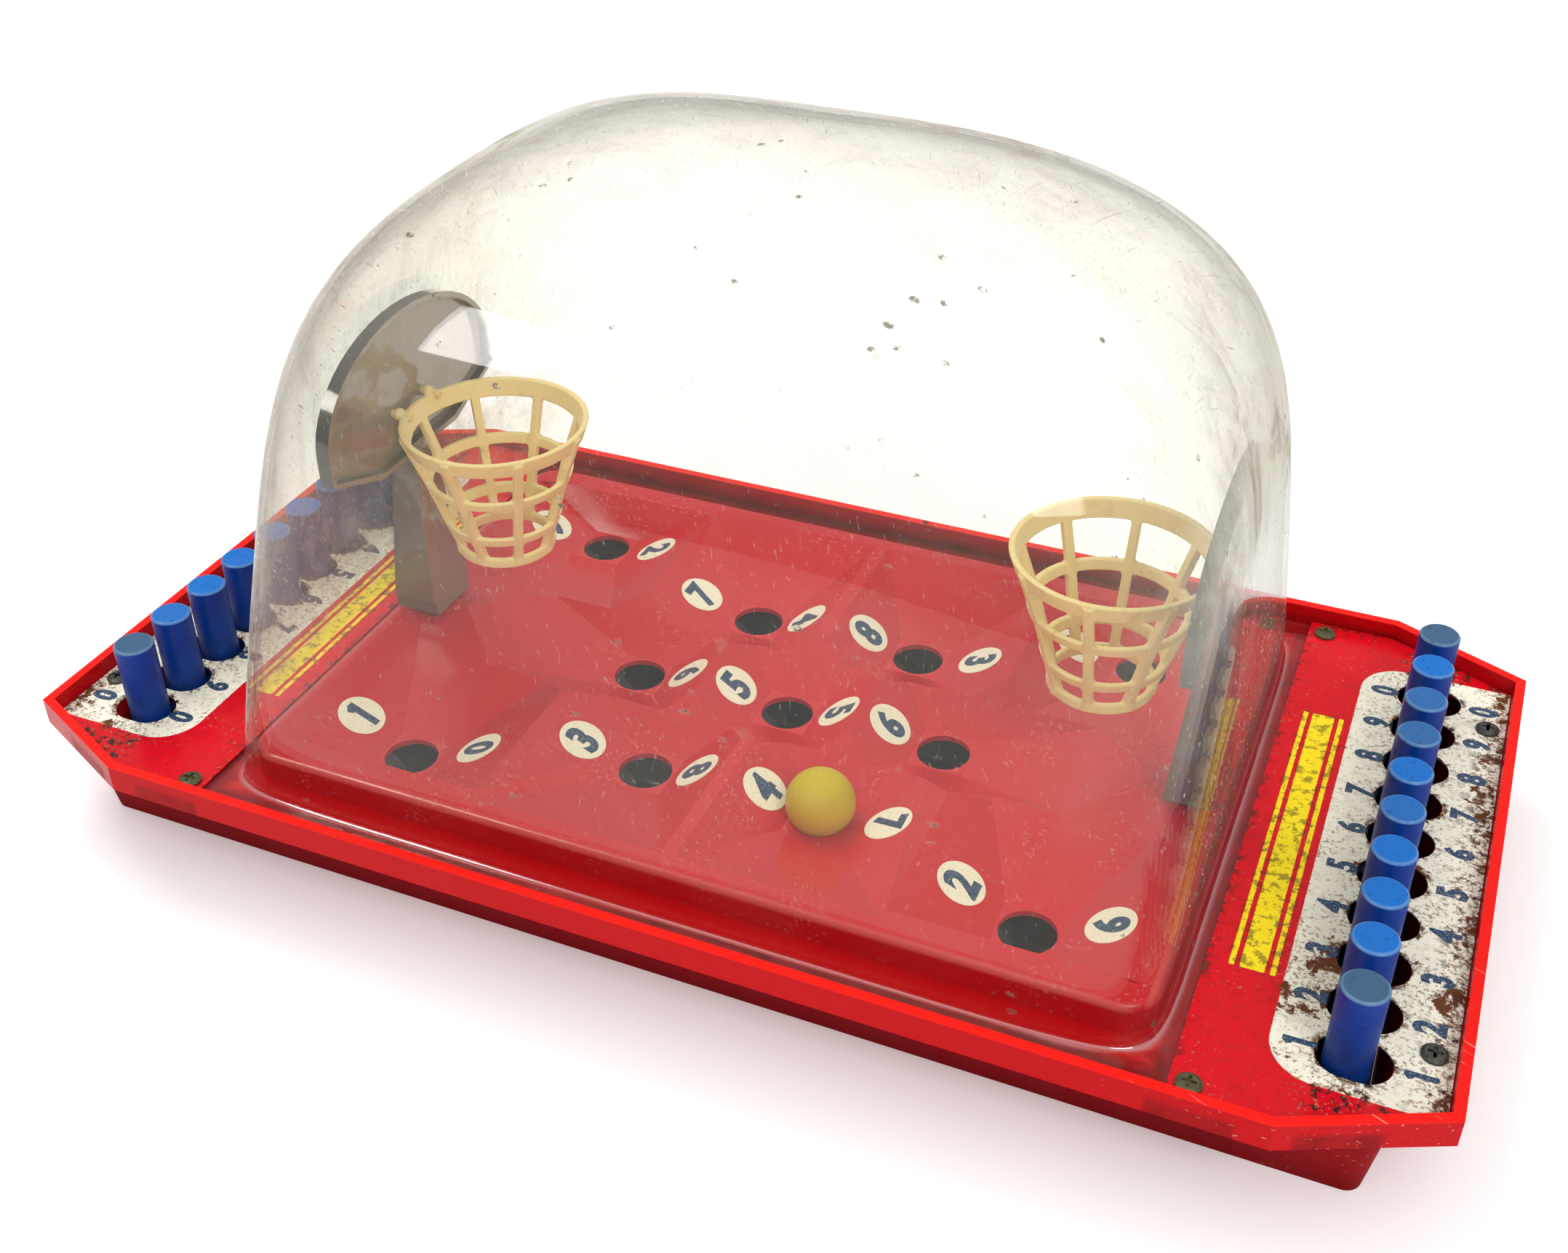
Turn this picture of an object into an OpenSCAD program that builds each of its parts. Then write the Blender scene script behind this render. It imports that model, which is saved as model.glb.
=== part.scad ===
// Tabletop basketball game for two players.
// A clear dome covers a court with eleven pits. Each player pulls one of ten keys,
// which drives a striker under the court and flips the ball out of its pit.
// Origin: centre of the base on the table, +X along the game, +Z up.

/* [Court] */
// Length of the raised court platform
court_l = 235.6; // [226:0.2:240]
// Height of the court's flat border above the table
court_top = 33.2; // [32:0.1:35]
// Thickness of the court moulding
court_t = 1.5; // [1:0.1:2]
// Height of a pit's flat floor above the table
pit_floor = 23.4; // [22.8:0.1:24.5]
// Half width of a pit's flat floor
floor_half = 7.5; // [7.2:0.1:8]
// Diameter of the hole in each pit
hole_d = 14; // [12:0.1:14.2]
// Distance of the four corner pits from the ends of the court
corner_pit_in = 34.2; // [33:0.1:36]
// Distance of the four corner pits from the middle, across the court
corner_pit_y = 54.9; // [53:0.1:56]
// Distance of the four inner pits from the middle, along the court
inner_pit_x = 24.4; // [24:0.1:26]
// Distance of the four inner pits from the middle, across the court
inner_pit_y = 36.6; // [36:0.1:38]
// Distance of the two side pits of the middle row from the middle
side_pit_x = 44.4; // [43.5:0.1:46]
// Slope of the short facets between pits of one row, as height per length
short_slope = 0.65; // [0.6:0.01:0.7]
// Slope of the facets between the corner pits and the inner pits
long_slope = 0.44; // [0.42:0.01:0.5]
// Slope of the facets between the rows
row_slope = 0.53; // [0.5:0.01:0.6]
// Slope of the shallow facets towards the ends of the court
end_slope = 0.2; // [0.19:0.01:0.24]
// Slope of the inner pits' facets towards the long sides
side_slope = 0.34; // [0.32:0.01:0.4]
// Slope of the steep wall outside the corner pits
wall_slope = 1.27; // [1.2:0.01:1.5]
// Corner radius of the court platform
court_r = 9; // [8:0.5:12]
// Diameter of a number sticker on a facet
sticker_d = 12.6; // [11:0.1:13]
// Thickness of a number sticker
sticker_t = 0.12; // [0.1:0.01:0.2]
// Gap between a sticker and its facet
sticker_gap = 0.02; // [0.01:0.01:0.05]
// How far the front corner stickers sit towards the middle row
front_shift = 4.9; // [3:0.1:6]
// How far the back corner stickers sit towards the middle row
back_shift = 1.4; // [0:0.1:3]
// Distance of a sticker from its hole on a short facet
sticker_near = 15; // [14.6:0.1:15.4]
// Distance of a sticker from its hole on a long facet
sticker_far = 18; // [17:0.1:18.6]

/* [Dome] */
// Wall thickness of the clear dome
dome_wall = 1.2; // [0.8:0.1:1.6]
// Height of the dome above its foot
dome_h = 160; // [154:1:166]
// Gap between the court's ends and the dome
court_end_gap = 1; // [0.8:0.1:1.6]
// Gap between the court's long sides and the dome
court_side_gap = 6.3; // [5:0.1:7]
// How much the dome's end walls lean in over their height
dome_lean = 8; // [7:0.5:9]
// Thickness of the dome's flange
flange_t = 0.8; // [0.6:0.1:1]
// Height of the round foot between the wall and the flange
foot_r = 1; // [0.8:0.1:1.4]
// Width of the flange at the two ends, under the end plates
flange_end_w = 11; // [10:0.5:12]
// Width of the flange along the two long sides
flange_side_w = 6.5; // [6:0.1:6.8]

/* [Keys] */
// Distance from key to key
key_pitch = 15; // [14.6:0.1:16]
// Diameter of a key's round cap
key_d = 10.4; // [9.6:0.1:11]
// Height of a key's top above the table
key_top = 48; // [44:0.5:52]
// How far a key swings out when it is pulled, in degrees
key_swing = 20; // [16:0.5:21]
// Distance from the end plate's inner edge to the row of keys
key_inset = 33.9; // [33:0.1:36]
// Height of the key shaft above the table
shaft_z = 17; // [16.6:0.1:17.4]
// Diameter of the key shaft
shaft_d = 3; // [2.4:0.1:3.4]
// Radial clearance of a key on its shaft
shaft_gap = 0.05; // [0.03:0.01:0.08]
// Diameter of a key's hub
hub_d = 8; // [7:0.2:8.4]
// Width of a key's hub along the shaft
hub_w = 8.5; // [8:0.1:9.5]
// Height of the lower edge of a key's cap
cap_low = 20; // [19.6:0.1:20.4]
// Chamfer around a key's top
cap_chamfer = 0.5; // [0.3:0.1:0.8]
// Distance from the shaft down to the tip of a key's tail
tail_l = 10.1; // [9.9:0.05:10.3]
// Radius of the tail's round tip
tip_r = 1.4; // [1.3:0.05:1.5]
// Thickness of the tail
tail_t = 2; // [1.6:0.1:2.2]
// Width of the tail along the shaft
tail_w = 3; // [2.6:0.1:3.4]

/* [Strikers] */
// Distance from a key's middle to its striker's strip
strip_offset = 2.6; // [2.5:0.05:2.9]
// Width of a striker's strip
strip_w = 3.4; // [3:0.1:3.6]
// Thickness of a striker's strip
strip_t = 1.3; // [1:0.1:1.5]
// Gap between a strip and the base cover below it
strip_lift = 0.3; // [0.2:0.05:0.4]
// Gap between the tail's tip and each fork tab
fork_gap = 0.25; // [0.2:0.05:0.35]
// Thickness of a fork tab
tab_t = 1.5; // [1.2:0.1:1.8]
// Height of a fork tab above its strip
tab_h = 3; // [2.8:0.1:3.2]
// Height of the underside of a striker's cross arm
arm_z = 12; // [11:0.1:12.5]
// Thickness of a striker's cross arm
arm_t = 4; // [3:0.1:4]
// Depth of a riser and of an arm along the game
arm_d = 5; // [4:0.1:5.4]
// Width of a striker's finger
finger_w = 5; // [4:0.1:6]
// Width of the 45 degree ramp on a finger
ramp_w = 5.2; // [4:0.1:5.3]
// Gap between a fully driven finger and the ball's centre line
ramp_start = 0.3; // [0.2:0.05:0.6]
// Gap between a fully driven ramp and the resting ball
ball_gap = 0.3; // [0.25:0.05:0.6]

/* [Tray] */
// Height of the rim's top above the table
rim_top = 31; // [29:0.1:32]
// Thickness of the rim
rim_t = 2.5; // [2:0.1:3]
// Height of the deck's top above the table
deck_top = 26; // [25.8:0.1:26.6]
// Thickness of the deck
deck_t = 2.5; // [2.2:0.1:2.8]
// Length of a cut corner along the tray
corner_x = 35.1; // [30:0.1:38]
// Width of a cut corner across the tray
corner_y = 15.9; // [14:0.1:18]
// Thickness of the base walls
wall_t = 2; // [1.6:0.1:2.6]
// How far the base walls lean out on their way up
wall_lean = 2.8; // [2:0.1:3.2]
// Corner radius of the base
base_r = 4; // [3:0.5:6]
// Width of the ledge that the court's walls stand on
ledge_w = 5.2; // [4:0.1:6]
// Gap between the dome's flange and the rim or the deck
flange_gap = 0.9; // [0.5:0.1:1.2]
// Gap between a pulled key and the edge of its window in the deck
window_gap = 0.7; // [0.5:0.1:1]
// Distance from a slot's inner end to the edge of the window below it
window_ledge = 3; // [2:0.1:3.4]
// Gap between a window and the base wall
wall_gap = 0.1; // [0.1:0.1:0.6]
// How far the rim stands out past the base at the two ends
end_overhang = 15.4; // [14:0.1:17]
// How far the rim stands out past the base along the long sides
side_overhang = 15.8; // [15.4:0.1:17]

/* [End plates] */
// Thickness of an end plate
plate_t = 0.5; // [0.4:0.1:0.8]
// Gap between the dome's wall and an end plate
plate_gap = 3.5; // [3.2:0.1:4]
// Gap between a plate's edge and the rim
plate_edge_gap = 0.3; // [0.2:0.1:0.5]
// Clearance around a key in its slot
slot_gap = 1.05; // [0.8:0.05:1.3]
// Gap between a key at rest and the inner end of its slot
slot_rest_gap = 1.7; // [1.2:0.1:2]
// Gap between a pulled key and the outer end of its slot
slot_pull_gap = 0.6; // [0.4:0.1:0.7]

/* [Baskets] */
// Distance of a basket's middle from its backboard's rim
basket_in = 24; // [23.6:0.1:26]
// Depth of a basket's upper edge below its backboard's top
basket_drop = 27.3; // [26:0.1:28]
// Radius of a basket's upper ring
ring_r = 24.9; // [24:0.1:25.2]
// Radius of the second ring
ring2_r = 19.9; // [19:0.1:21]
// Radius of the third ring
ring3_r = 15.8; // [15:0.1:17]
// Radius of the lowest ring
ring4_r = 13.3; // [12.6:0.1:14]
// Depth of the second ring below the upper edge
ring2_drop = 14.3; // [13:0.1:16]
// Depth of the third ring below the upper edge
ring3_drop = 27.6; // [26:0.1:29]
// Depth of the lowest ring below the upper edge
ring4_drop = 35.2; // [34:0.1:37]
// Height of the upper ring's band
band_h = 4.6; // [4:0.1:6]
// Height of the lower rings' bands
hoop_h = 2.8; // [2.4:0.1:3.4]
// Thickness of the rings
ring_t = 1.6; // [1.4:0.1:1.8]
// Thickness of the upright bars
bar_t = 2.4; // [2:0.1:2.6]
// Width of the upright bars
bar_w = 2.4; // [2:0.1:3]
// Number of upright bars
bar_count = 8; // [6:2:12]
// Distance of a basket's two prongs from its middle
prong_y = 7; // [6.4:0.1:9]
// Depth of the prongs below the upper edge
prong_drop = 0.1; // [0:0.1:1]
// Radius of a prong
prong_r = 1.2; // [1:0.1:1.4]
// Radius of the ball on each prong
knob_r = 1.8; // [1.6:0.1:2]
// Radial clearance of a prong in its backboard
prong_gap = 0.1; // [0.05:0.01:0.15]
// How far a prong runs into the upper ring
prong_root = 1.6; // [1:0.1:2.2]
// How far a prong stands out behind its backboard
prong_end = 0.7; // [0.3:0.1:0.8]
// Gap between the ball on a prong and the backboard
knob_gap = 0.1; // [0.05:0.01:0.2]

/* [Backboards] */
// Distance of a backboard's rim from the end of the court
board_in = 10.8; // [10.6:0.1:11]
// Depth of a backboard
board_d = 3.8; // [3.6:0.1:3.9]
// Thickness of a backboard's face and rim
board_t = 1.5; // [1.3:0.1:1.6]
// Half width of a backboard
board_half = 38.7; // [37:0.1:40]
// Depth of a backboard's top below the dome's top
board_drop = 64; // [63.6:0.1:67]
// Height of the round part of a backboard
arch_h = 25; // [22:0.5:27]
// Height of a backboard from its lower edge to its top
board_h = 41; // [39:0.1:43]
// Half width of a backboard's lower edge
board_low_half = 18; // [16:0.5:21]
// Height of the sloping lower corners
board_slope_h = 8; // [6:0.5:10]
// Half width of the post at its foot
post_foot_half = 9.3; // [8.5:0.1:10]
// Half width of the post at the backboard
post_top_half = 4.5; // [4:0.1:6]
// Distance of the post's front from the end of the court, at its foot
post_in = 14.8; // [13.8:0.1:15.3]
// Depth of the post at its foot
post_foot_d = 13.6; // [12.5:0.1:13.8]
// How far the post reaches up past the backboard's lower edge
post_lap = 3; // [2:0.1:5]
// Depth of the post at the backboard
post_top_d = 6.4; // [5.6:0.1:6.6]
// Thickness of the post's walls
post_t = 1.6; // [1.4:0.1:2]
// Height of the notch at each side of the post's foot
notch_h = 4; // [3:0.1:5]
// Width of the notch at each side of the post's foot
notch_w = 1.2; // [1:0.1:1.5]
// Radius of the boss around a post screw, under the court and in the post
post_boss_r = 3.1; // [2.9:0.1:3.4]
// Depth of the boss for a post screw, below the court's flat border
post_boss_h = 3; // [2.6:0.1:4]

/* [Ball] */
// Diameter of the ball
ball_d = 17.6; // [17:0.1:18]
// Gap between the resting ball and the edge of its hole
ball_lift = 0.2; // [0.15:0.01:0.3]

/* [Base cover] */
// Thickness of the base cover
cover_t = 2; // [1.6:0.1:2]
// Height of the base cover's underside above the table
cover_z = 1.6; // [1.4:0.1:1.8]
// Gap between the base cover and the base walls
cover_gap = 0.3; // [0.2:0.1:0.6]
// Distance of a guide comb's ends from the cover's long edges
guide_side = 3; // [2:0.1:4]
// Height of the guide combs above the base cover
guide_h = 4; // [3:0.1:5]
// Thickness of a guide comb
guide_t = 2; // [1.5:0.1:3]
// Clearance at each side of a strip in its guide
guide_gap = 0.25; // [0.2:0.05:0.35]
// Distance of the inner guide combs from the middle
guide_inner_x = 64; // [60:0.5:72]
// Distance of the outer guide combs from the middle
guide_outer_x = 112; // [100:0.5:125]
// Thickness of the uprights that carry a key shaft
upright_t = 2.5; // [2:0.1:2.8]
// Height of the uprights above the shaft
upright_rise = 3.5; // [3:0.1:4]
// Length of an upright outwards from the key shaft
upright_out = 4; // [3:0.1:5]
// Length of an upright inwards from the return comb
upright_in = 1.8; // [1.2:0.1:2.4]
// Clearance at each side of a return comb in its uprights
comb_slot_gap = 0.1; // [0.05:0.05:0.2]
// Thickness of a return comb's spring steel
comb_t = 0.4; // [0.3:0.05:0.5]
// Gap between the keys' caps and the middle of a return comb's back
comb_gap = 1.2; // [1:0.1:1.6]
// Height of a return comb's back above the tips of the tails
comb_rise = 7.1; // [6.6:0.1:7.4]
// Height above the tips at which the comb's fingers touch the tails
touch_rise = 2.8; // [2.6:0.1:3.2]
// Height of a return comb's back
comb_h = 5; // [4:0.1:5.5]
// Width of a return comb's finger
comb_finger_w = 3; // [2:0.1:3.4]

/* [Screws] */
// Diameter of a plate screw's head
plate_head_d = 5.9; // [5:0.1:6.2]
// Diameter of a plate screw's shank
plate_shank_d = 2.8; // [2.4:0.1:3]
// Length of a plate screw under its head
plate_screw_l = 7; // [6:0.1:8]
// Diameter of a base or post screw's head
base_head_d = 5.2; // [4.4:0.1:5.6]
// Diameter of a base or post screw's shank
base_shank_d = 2.4; // [2:0.1:2.5]
// Length of a base screw under its head
base_screw_l = 11; // [9:0.5:13]
// Length of a post screw under its head
post_screw_l = 8; // [7:0.5:10]
// Height of a screw's head
head_h = 1.2; // [1:0.05:1.2]
// Radial clearance of a screw in its hole
screw_gap = 0.08; // [0.05:0.01:0.1]
// Material under the hole of a plate screw
boss_floor = 1; // [0.6:0.1:1.5]
// Radius of the bosses for the base screws
boss_r = 2.8; // [2.6:0.1:3.2]
// Gap between a base boss and the nearest strip
boss_gap = 0.4; // [0.3:0.1:0.8]
// Distance of the outer base bosses from the middle
boss_x = 135; // [128:0.5:140]
// Distance of the dome's screws from the plate's inner edge
dome_screw_in = 4.5; // [4.2:0.1:5]
// Distance of the dome's screws from the rim
dome_screw_side = 5.4; // [4.6:0.1:5.6]
// Distance of the plate's outer screws from the end of the rim
plate_screw_end = 4.8; // [4.4:0.1:5.2]
// Distance of the plate's outer screws from the middle line
plate_screw_y = 60; // [56:0.5:62]

/* [Hidden] */
DIGITS = [1, 2, 3, 4, 5, 6, 7, 8, 9, 0];

// The dome's end walls and side walls: how late they turn in, and how round the turn is
end_fall = 6.3;
end_round = 0.578;
side_fall = 5;
side_round = 0.667;
// Squareness of the dome's outline at its foot and crown, and how fast it fades between them
foot_square = 17.8;
crown_square = 3.6;
square_fade = 0.2;
flange_square = 50;

round_fn = 48;
hull_fn = 32;
cut = 1;
ring_points = 12;
ring_count = 22;
sink = 0.5;

// Keys, from the middle outwards
key_r = key_d / 2;
shaft_r = shaft_d / 2;
dome_half_x = court_l / 2 + court_end_gap + dome_wall;
plate_in = dome_half_x + plate_gap;
key_x = plate_in + key_inset;
last_lane = key_pitch * 4.5;
function lane(k) = (k - 4.5) * key_pitch;
function tilt_reach(z) = (z - shaft_z) * tan(key_swing) + key_r / cos(key_swing);
window_out = key_x + tilt_reach(deck_top) + window_gap;
slot_in = key_x - key_r - slot_rest_gap;
window_in = slot_in - window_ledge;
slot_out = key_x + tilt_reach(deck_top + plate_t) + slot_pull_gap;
slot_w = key_d + 2 * slot_gap;
tip_z = shaft_z - tail_l;
stroke = tail_l * key_swing * PI / 180;

// Base and tray
deck_low = deck_top - deck_t;
cover_top = cover_z + cover_t;
strip_edge = last_lane + strip_offset + strip_w / 2;
boss_y = strip_edge + boss_gap + boss_r;
cover_half_y = boss_y + boss_r;
base_half_y = cover_half_y + cover_gap + wall_t;
base_half_x = window_out + wall_gap + wall_t - wall_lean;
cover_half_x = base_half_x - wall_t - cover_gap;
tray_half_x = base_half_x + end_overhang;
tray_half_y = base_half_y + side_overhang;

// Dome
seat_top = deck_top - flange_t;
dome_half_y = tray_half_y - rim_t - flange_gap - flange_side_w;
dome_foot = deck_top + foot_r;
court_w = 2 * (dome_half_y - dome_wall - court_side_gap);
flange_half_x = dome_half_x + flange_end_w;
flange_half_y = dome_half_y + flange_side_w;

// Strikers
strip_low = cover_top + strip_lift;
strip_top = strip_low + strip_t;
ball_r = ball_d / 2;
hole_r = hole_d / 2;
ball_z = pit_floor + sqrt(ball_r * ball_r - hole_r * hole_r) + ball_lift;
ramp_low = ball_z - (ball_r + ball_gap) * sqrt(2) + ramp_start;
finger_in = ramp_start + stroke;
finger_out = finger_in + ramp_w + 1;
arm_in = finger_out - arm_d;
fork_in = tip_r + fork_gap;
fork_out = fork_in + tab_t;

corner_pit_x = court_l / 2 - corner_pit_in;

// Pits that each player's keys 1 to 9 and 0 reach, seen from the right end
targets = [
    [-corner_pit_x, -corner_pit_y], [corner_pit_x, -corner_pit_y],
    [-inner_pit_x, -inner_pit_y], [inner_pit_x, -inner_pit_y],
    [0, 0], [side_pit_x, 0],
    [-inner_pit_x, inner_pit_y], [inner_pit_x, inner_pit_y],
    [-corner_pit_x, corner_pit_y], [corner_pit_x, corner_pit_y]
];

// Return combs, screws and posts
comb_x = key_x - key_r - comb_gap;
comb_z = tip_z + comb_rise;
plate_shank_r = plate_shank_d / 2;
base_shank_r = base_shank_d / 2;
plate_hole_r = plate_shank_r + screw_gap;
base_hole_r = base_shank_r + screw_gap;
dome_screw_x = plate_in + dome_screw_in;
dome_screw_y = tray_half_y - rim_t - dome_screw_side;
plate_screw_x = tray_half_x - rim_t - plate_screw_end;
post_front = court_l / 2 - post_in;
post_x = post_front + post_foot_d / 2;
board_x = court_l / 2 - board_in;
board_top = dome_foot + dome_h - board_drop;
board_low = board_top - board_h;
basket_x = board_x - basket_in;
basket_top = board_top - basket_drop;
board_back = board_x + board_d;
board_face = board_back - board_t;

module both_ends() {
    children();
    rotate([0, 0, 180]) children();
}

module four_ways(x, y) {
    for (sx = [-1, 1]) for (sy = [-1, 1]) translate([sx * x, sy * y]) children();
}

module rounded(half_x, half_y, r) {
    square([2 * half_x, 2 * (half_y - r)], center = true);
    square([2 * (half_x - r), 2 * half_y], center = true);
    four_ways(half_x - r, half_y - r) circle(r = r, $fn = hull_fn);
}

// Rim outline: a rectangle with cut corners, moved in by inset
function rim_corner(inset) =
    let (run = norm([corner_x, corner_y]))
    let (hx = tray_half_x - inset)
    let (hy = tray_half_y - inset)
    let (c = corner_y * tray_half_x + corner_x * (tray_half_y - corner_y) - inset * run)
    [[hx, (c - corner_y * hx) / corner_x], [(c - corner_x * hy) / corner_y, hy]];

module rim_outline(inset) {
    p = rim_corner(inset);
    polygon([
        [p[0][0], -p[0][1]], [p[0][0], p[0][1]], [p[1][0], p[1][1]], [-p[1][0], p[1][1]],
        [-p[0][0], p[0][1]], [-p[0][0], -p[0][1]], [-p[1][0], -p[1][1]], [p[1][0], -p[1][1]]
    ]);
}

module base_block(inset, low) {
    hull() {
        translate([0, 0, low])
            linear_extrude(0.01)
                rounded(base_half_x - inset, base_half_y - inset, base_r);
        translate([0, 0, deck_low - 0.01])
            linear_extrude(0.01)
                rounded(base_half_x + wall_lean - inset, base_half_y + wall_lean - inset, base_r);
    }
}

module at_plate_screws() {
    four_ways(dome_screw_x, dome_screw_y) children();
    four_ways(plate_screw_x, plate_screw_y) children();
}

module at_base_screws() {
    four_ways(boss_x, boss_y) children();
    for (s = [-1, 1]) translate([0, s * boss_y]) children();
}

module tray() {
    color("crimson") difference() {
        union() {
            difference() {
                translate([0, 0, deck_low])
                    linear_extrude(rim_top - deck_low) rim_outline(0);
                translate([0, 0, deck_top])
                    linear_extrude(rim_top) rim_outline(rim_t);
            }
            difference() {
                base_block(0, 0);
                base_block(wall_t, -0.01);
            }
            at_base_screws() translate([0, 0, cover_top])
                cylinder(r = boss_r, h = deck_low - cover_top + cut / 2, $fn = round_fn);
            at_plate_screws() translate([0, 0, deck_top - plate_screw_l - boss_floor])
                cylinder(r = plate_head_d / 2, h = plate_screw_l - flange_t, $fn = round_fn);
        }
        // Seat of the dome's flange
        translate([-flange_half_x - flange_gap / 3, -tray_half_y + rim_t, seat_top])
            cube([2 * flange_half_x + flange_gap / 1.5, 2 * (tray_half_y - rim_t), flange_t + 0.01]);
        // Windows under the court and the two rows of keys
        translate([0, 0, deck_low - cut])
            linear_extrude(deck_t + 2 * cut)
                square([court_l - 2 * ledge_w, court_w - 2 * ledge_w], center = true);
        both_ends() translate([window_in, -last_lane - slot_w / 2 - cut, deck_low - cut])
            cube([window_out - window_in, 2 * last_lane + slot_w + 2 * cut, deck_t + 2 * cut]);
        at_base_screws() translate([0, 0, cover_top - cut])
            cylinder(r = base_hole_r, h = base_screw_l + cut, $fn = round_fn);
        at_plate_screws() translate([0, 0, deck_top - plate_screw_l])
            cylinder(r = plate_hole_r, h = plate_screw_l + cut, $fn = round_fn);
    }
}

// True where the strip of key k, seen from its own end, passes a comb at x
function passes(k, x) = targets[k][0] + arm_in < x - guide_t;
function strip_y(k) = lane(k) - strip_offset;

module guide(x) {
    difference() {
        translate([x - guide_t / 2, -cover_half_y + guide_side, cover_top - sink])
            cube([guide_t, 2 * (cover_half_y - guide_side), guide_h + sink]);
        for (k = [0 : 9]) {
            if (passes(k, x))
                translate([x - guide_t, strip_y(k) - strip_w / 2 - guide_gap, cover_top])
                    cube([2 * guide_t, strip_w + 2 * guide_gap, guide_h + cut]);
            if (passes(k, -x))
                translate([x - guide_t, -strip_y(k) - strip_w / 2 - guide_gap, cover_top])
                    cube([2 * guide_t, strip_w + 2 * guide_gap, guide_h + cut]);
        }
    }
}

module upright(y) {
    low = cover_top - sink;
    back = key_x - comb_x + upright_in;
    difference() {
        translate([key_x - back, y - upright_t / 2, low])
            cube([back + upright_out, upright_t, shaft_z + upright_rise - low]);
        translate([key_x, y, shaft_z]) rotate([90, 0, 0])
            cylinder(r = shaft_r + shaft_gap, h = upright_t + 2, center = true, $fn = round_fn);
        translate([comb_x - comb_t / 2 - comb_slot_gap, -boss_y, comb_z - comb_slot_gap])
            cube([comb_t + 2 * comb_slot_gap, 2 * boss_y, shaft_z + upright_rise]);
    }
}

module base_cover() {
    color("dimgray") difference() {
        union() {
            translate([0, 0, cover_z])
                linear_extrude(cover_t)
                    rounded(cover_half_x, cover_half_y, base_r - wall_t);
            both_ends() {
                for (y = [-boss_y, 0, boss_y]) upright(y);
                guide(guide_inner_x);
                guide(guide_outer_x);
            }
        }
        at_base_screws() translate([0, 0, cover_z - cut])
            cylinder(r = base_hole_r, h = cover_t + 2 * cut, $fn = round_fn);
    }
}

// A pit's mould: a square floor and four facets, each with its own rise
module pit(x, y, out_x, in_x, out_y, in_y, drop) {
    sx = x < 0 ? -1 : 1;
    sy = y < 0 ? -1 : 1;
    h = court_top - pit_floor + cut;
    f = floor_half;
    left = f + h / (sx > 0 ? in_x : out_x);
    right = f + h / (sx > 0 ? out_x : in_x);
    front = f + h / (sy > 0 ? in_y : out_y);
    back = f + h / (sy > 0 ? out_y : in_y);
    translate([x, y, pit_floor - drop])
        polyhedron(
            points = [
                [-f, -f, 0], [f, -f, 0], [f, f, 0], [-f, f, 0],
                [-left, -front, h], [right, -front, h], [right, back, h], [-left, back, h]
            ],
            faces = [[0, 1, 2, 3], [7, 6, 5, 4], [0, 4, 5, 1], [1, 5, 6, 2], [2, 6, 7, 3], [3, 7, 4, 0]]
        );
}

module pits(drop) {
    for (sx = [-1, 1]) {
        for (sy = [-1, 1]) {
            pit(sx * corner_pit_x, sy * corner_pit_y, long_slope, long_slope, wall_slope, end_slope, drop);
            pit(sx * inner_pit_x, sy * inner_pit_y, long_slope, short_slope, side_slope, row_slope, drop);
        }
        pit(sx * side_pit_x, 0, end_slope, short_slope, row_slope, row_slope, drop);
    }
    pit(0, 0, short_slope, short_slope, row_slope, row_slope, drop);
}

module at_pits() {
    for (sx = [-1, 1]) {
        for (sy = [-1, 1]) {
            translate([sx * corner_pit_x, sy * corner_pit_y]) children();
            translate([sx * inner_pit_x, sy * inner_pit_y]) children();
        }
        translate([sx * side_pit_x, 0]) children();
    }
    children();
}

module court() {
    low = pit_floor - court_t - 2;
    color("firebrick") difference() {
        union() {
            difference() {
                translate([0, 0, low])
                    linear_extrude(court_top - low) rounded(court_l / 2, court_w / 2, court_r);
                difference() {
                    translate([0, 0, low - cut])
                        linear_extrude(court_top - court_t - low + cut)
                            rounded(court_l / 2 - court_t, court_w / 2 - court_t, court_r - court_t);
                    pits(court_t);
                }
            }
            both_ends() translate([post_x, 0, court_top - post_boss_h])
                cylinder(r = post_boss_r, h = post_boss_h - sink, $fn = round_fn);
        }
        pits(0);
        // The side walls end on the deck
        translate([0, 0, low - cut]) linear_extrude(seat_top - low + cut) difference() {
            square([court_l + 2, court_w + 2], center = true);
            rounded(court_l / 2 - court_t, court_w / 2 - court_t, court_r - court_t);
        }
        at_pits() translate([0, 0, low]) cylinder(d = hole_d, h = court_top, $fn = round_fn);
        both_ends() translate([post_x, 0, low])
            cylinder(r = base_hole_r, h = court_top, $fn = round_fn);
    }
}

// One number sticker on the facet that rises away from a pit's hole
module sticker(x, y, dir, dist, rise) {
    translate([x + dir * dist, y, pit_floor + (dist - floor_half) * rise])
        rotate([0, -dir * atan(rise), 0])
            translate([0, 0, sticker_gap]) cylinder(d = sticker_d, h = sticker_t, $fn = round_fn);
}

module number_stickers() {
    color("ivory") {
        for (sx = [-1, 1]) {
            for (sy = [-1, 1]) {
                y = sy * corner_pit_y + (sy < 0 ? front_shift : -back_shift);
                sticker(sx * corner_pit_x, y, sx, sticker_far, long_slope);
                sticker(sx * corner_pit_x, y, -sx, sticker_far, long_slope);
                sticker(sx * inner_pit_x, sy * inner_pit_y, sx, sticker_far, long_slope);
                sticker(sx * inner_pit_x, sy * inner_pit_y, -sx, sticker_near, short_slope);
            }
            sticker(sx * side_pit_x, 0, -sx, sticker_near, short_slope);
            sticker(0, 0, sx, sticker_near, short_slope);
        }
    }
}

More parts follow.
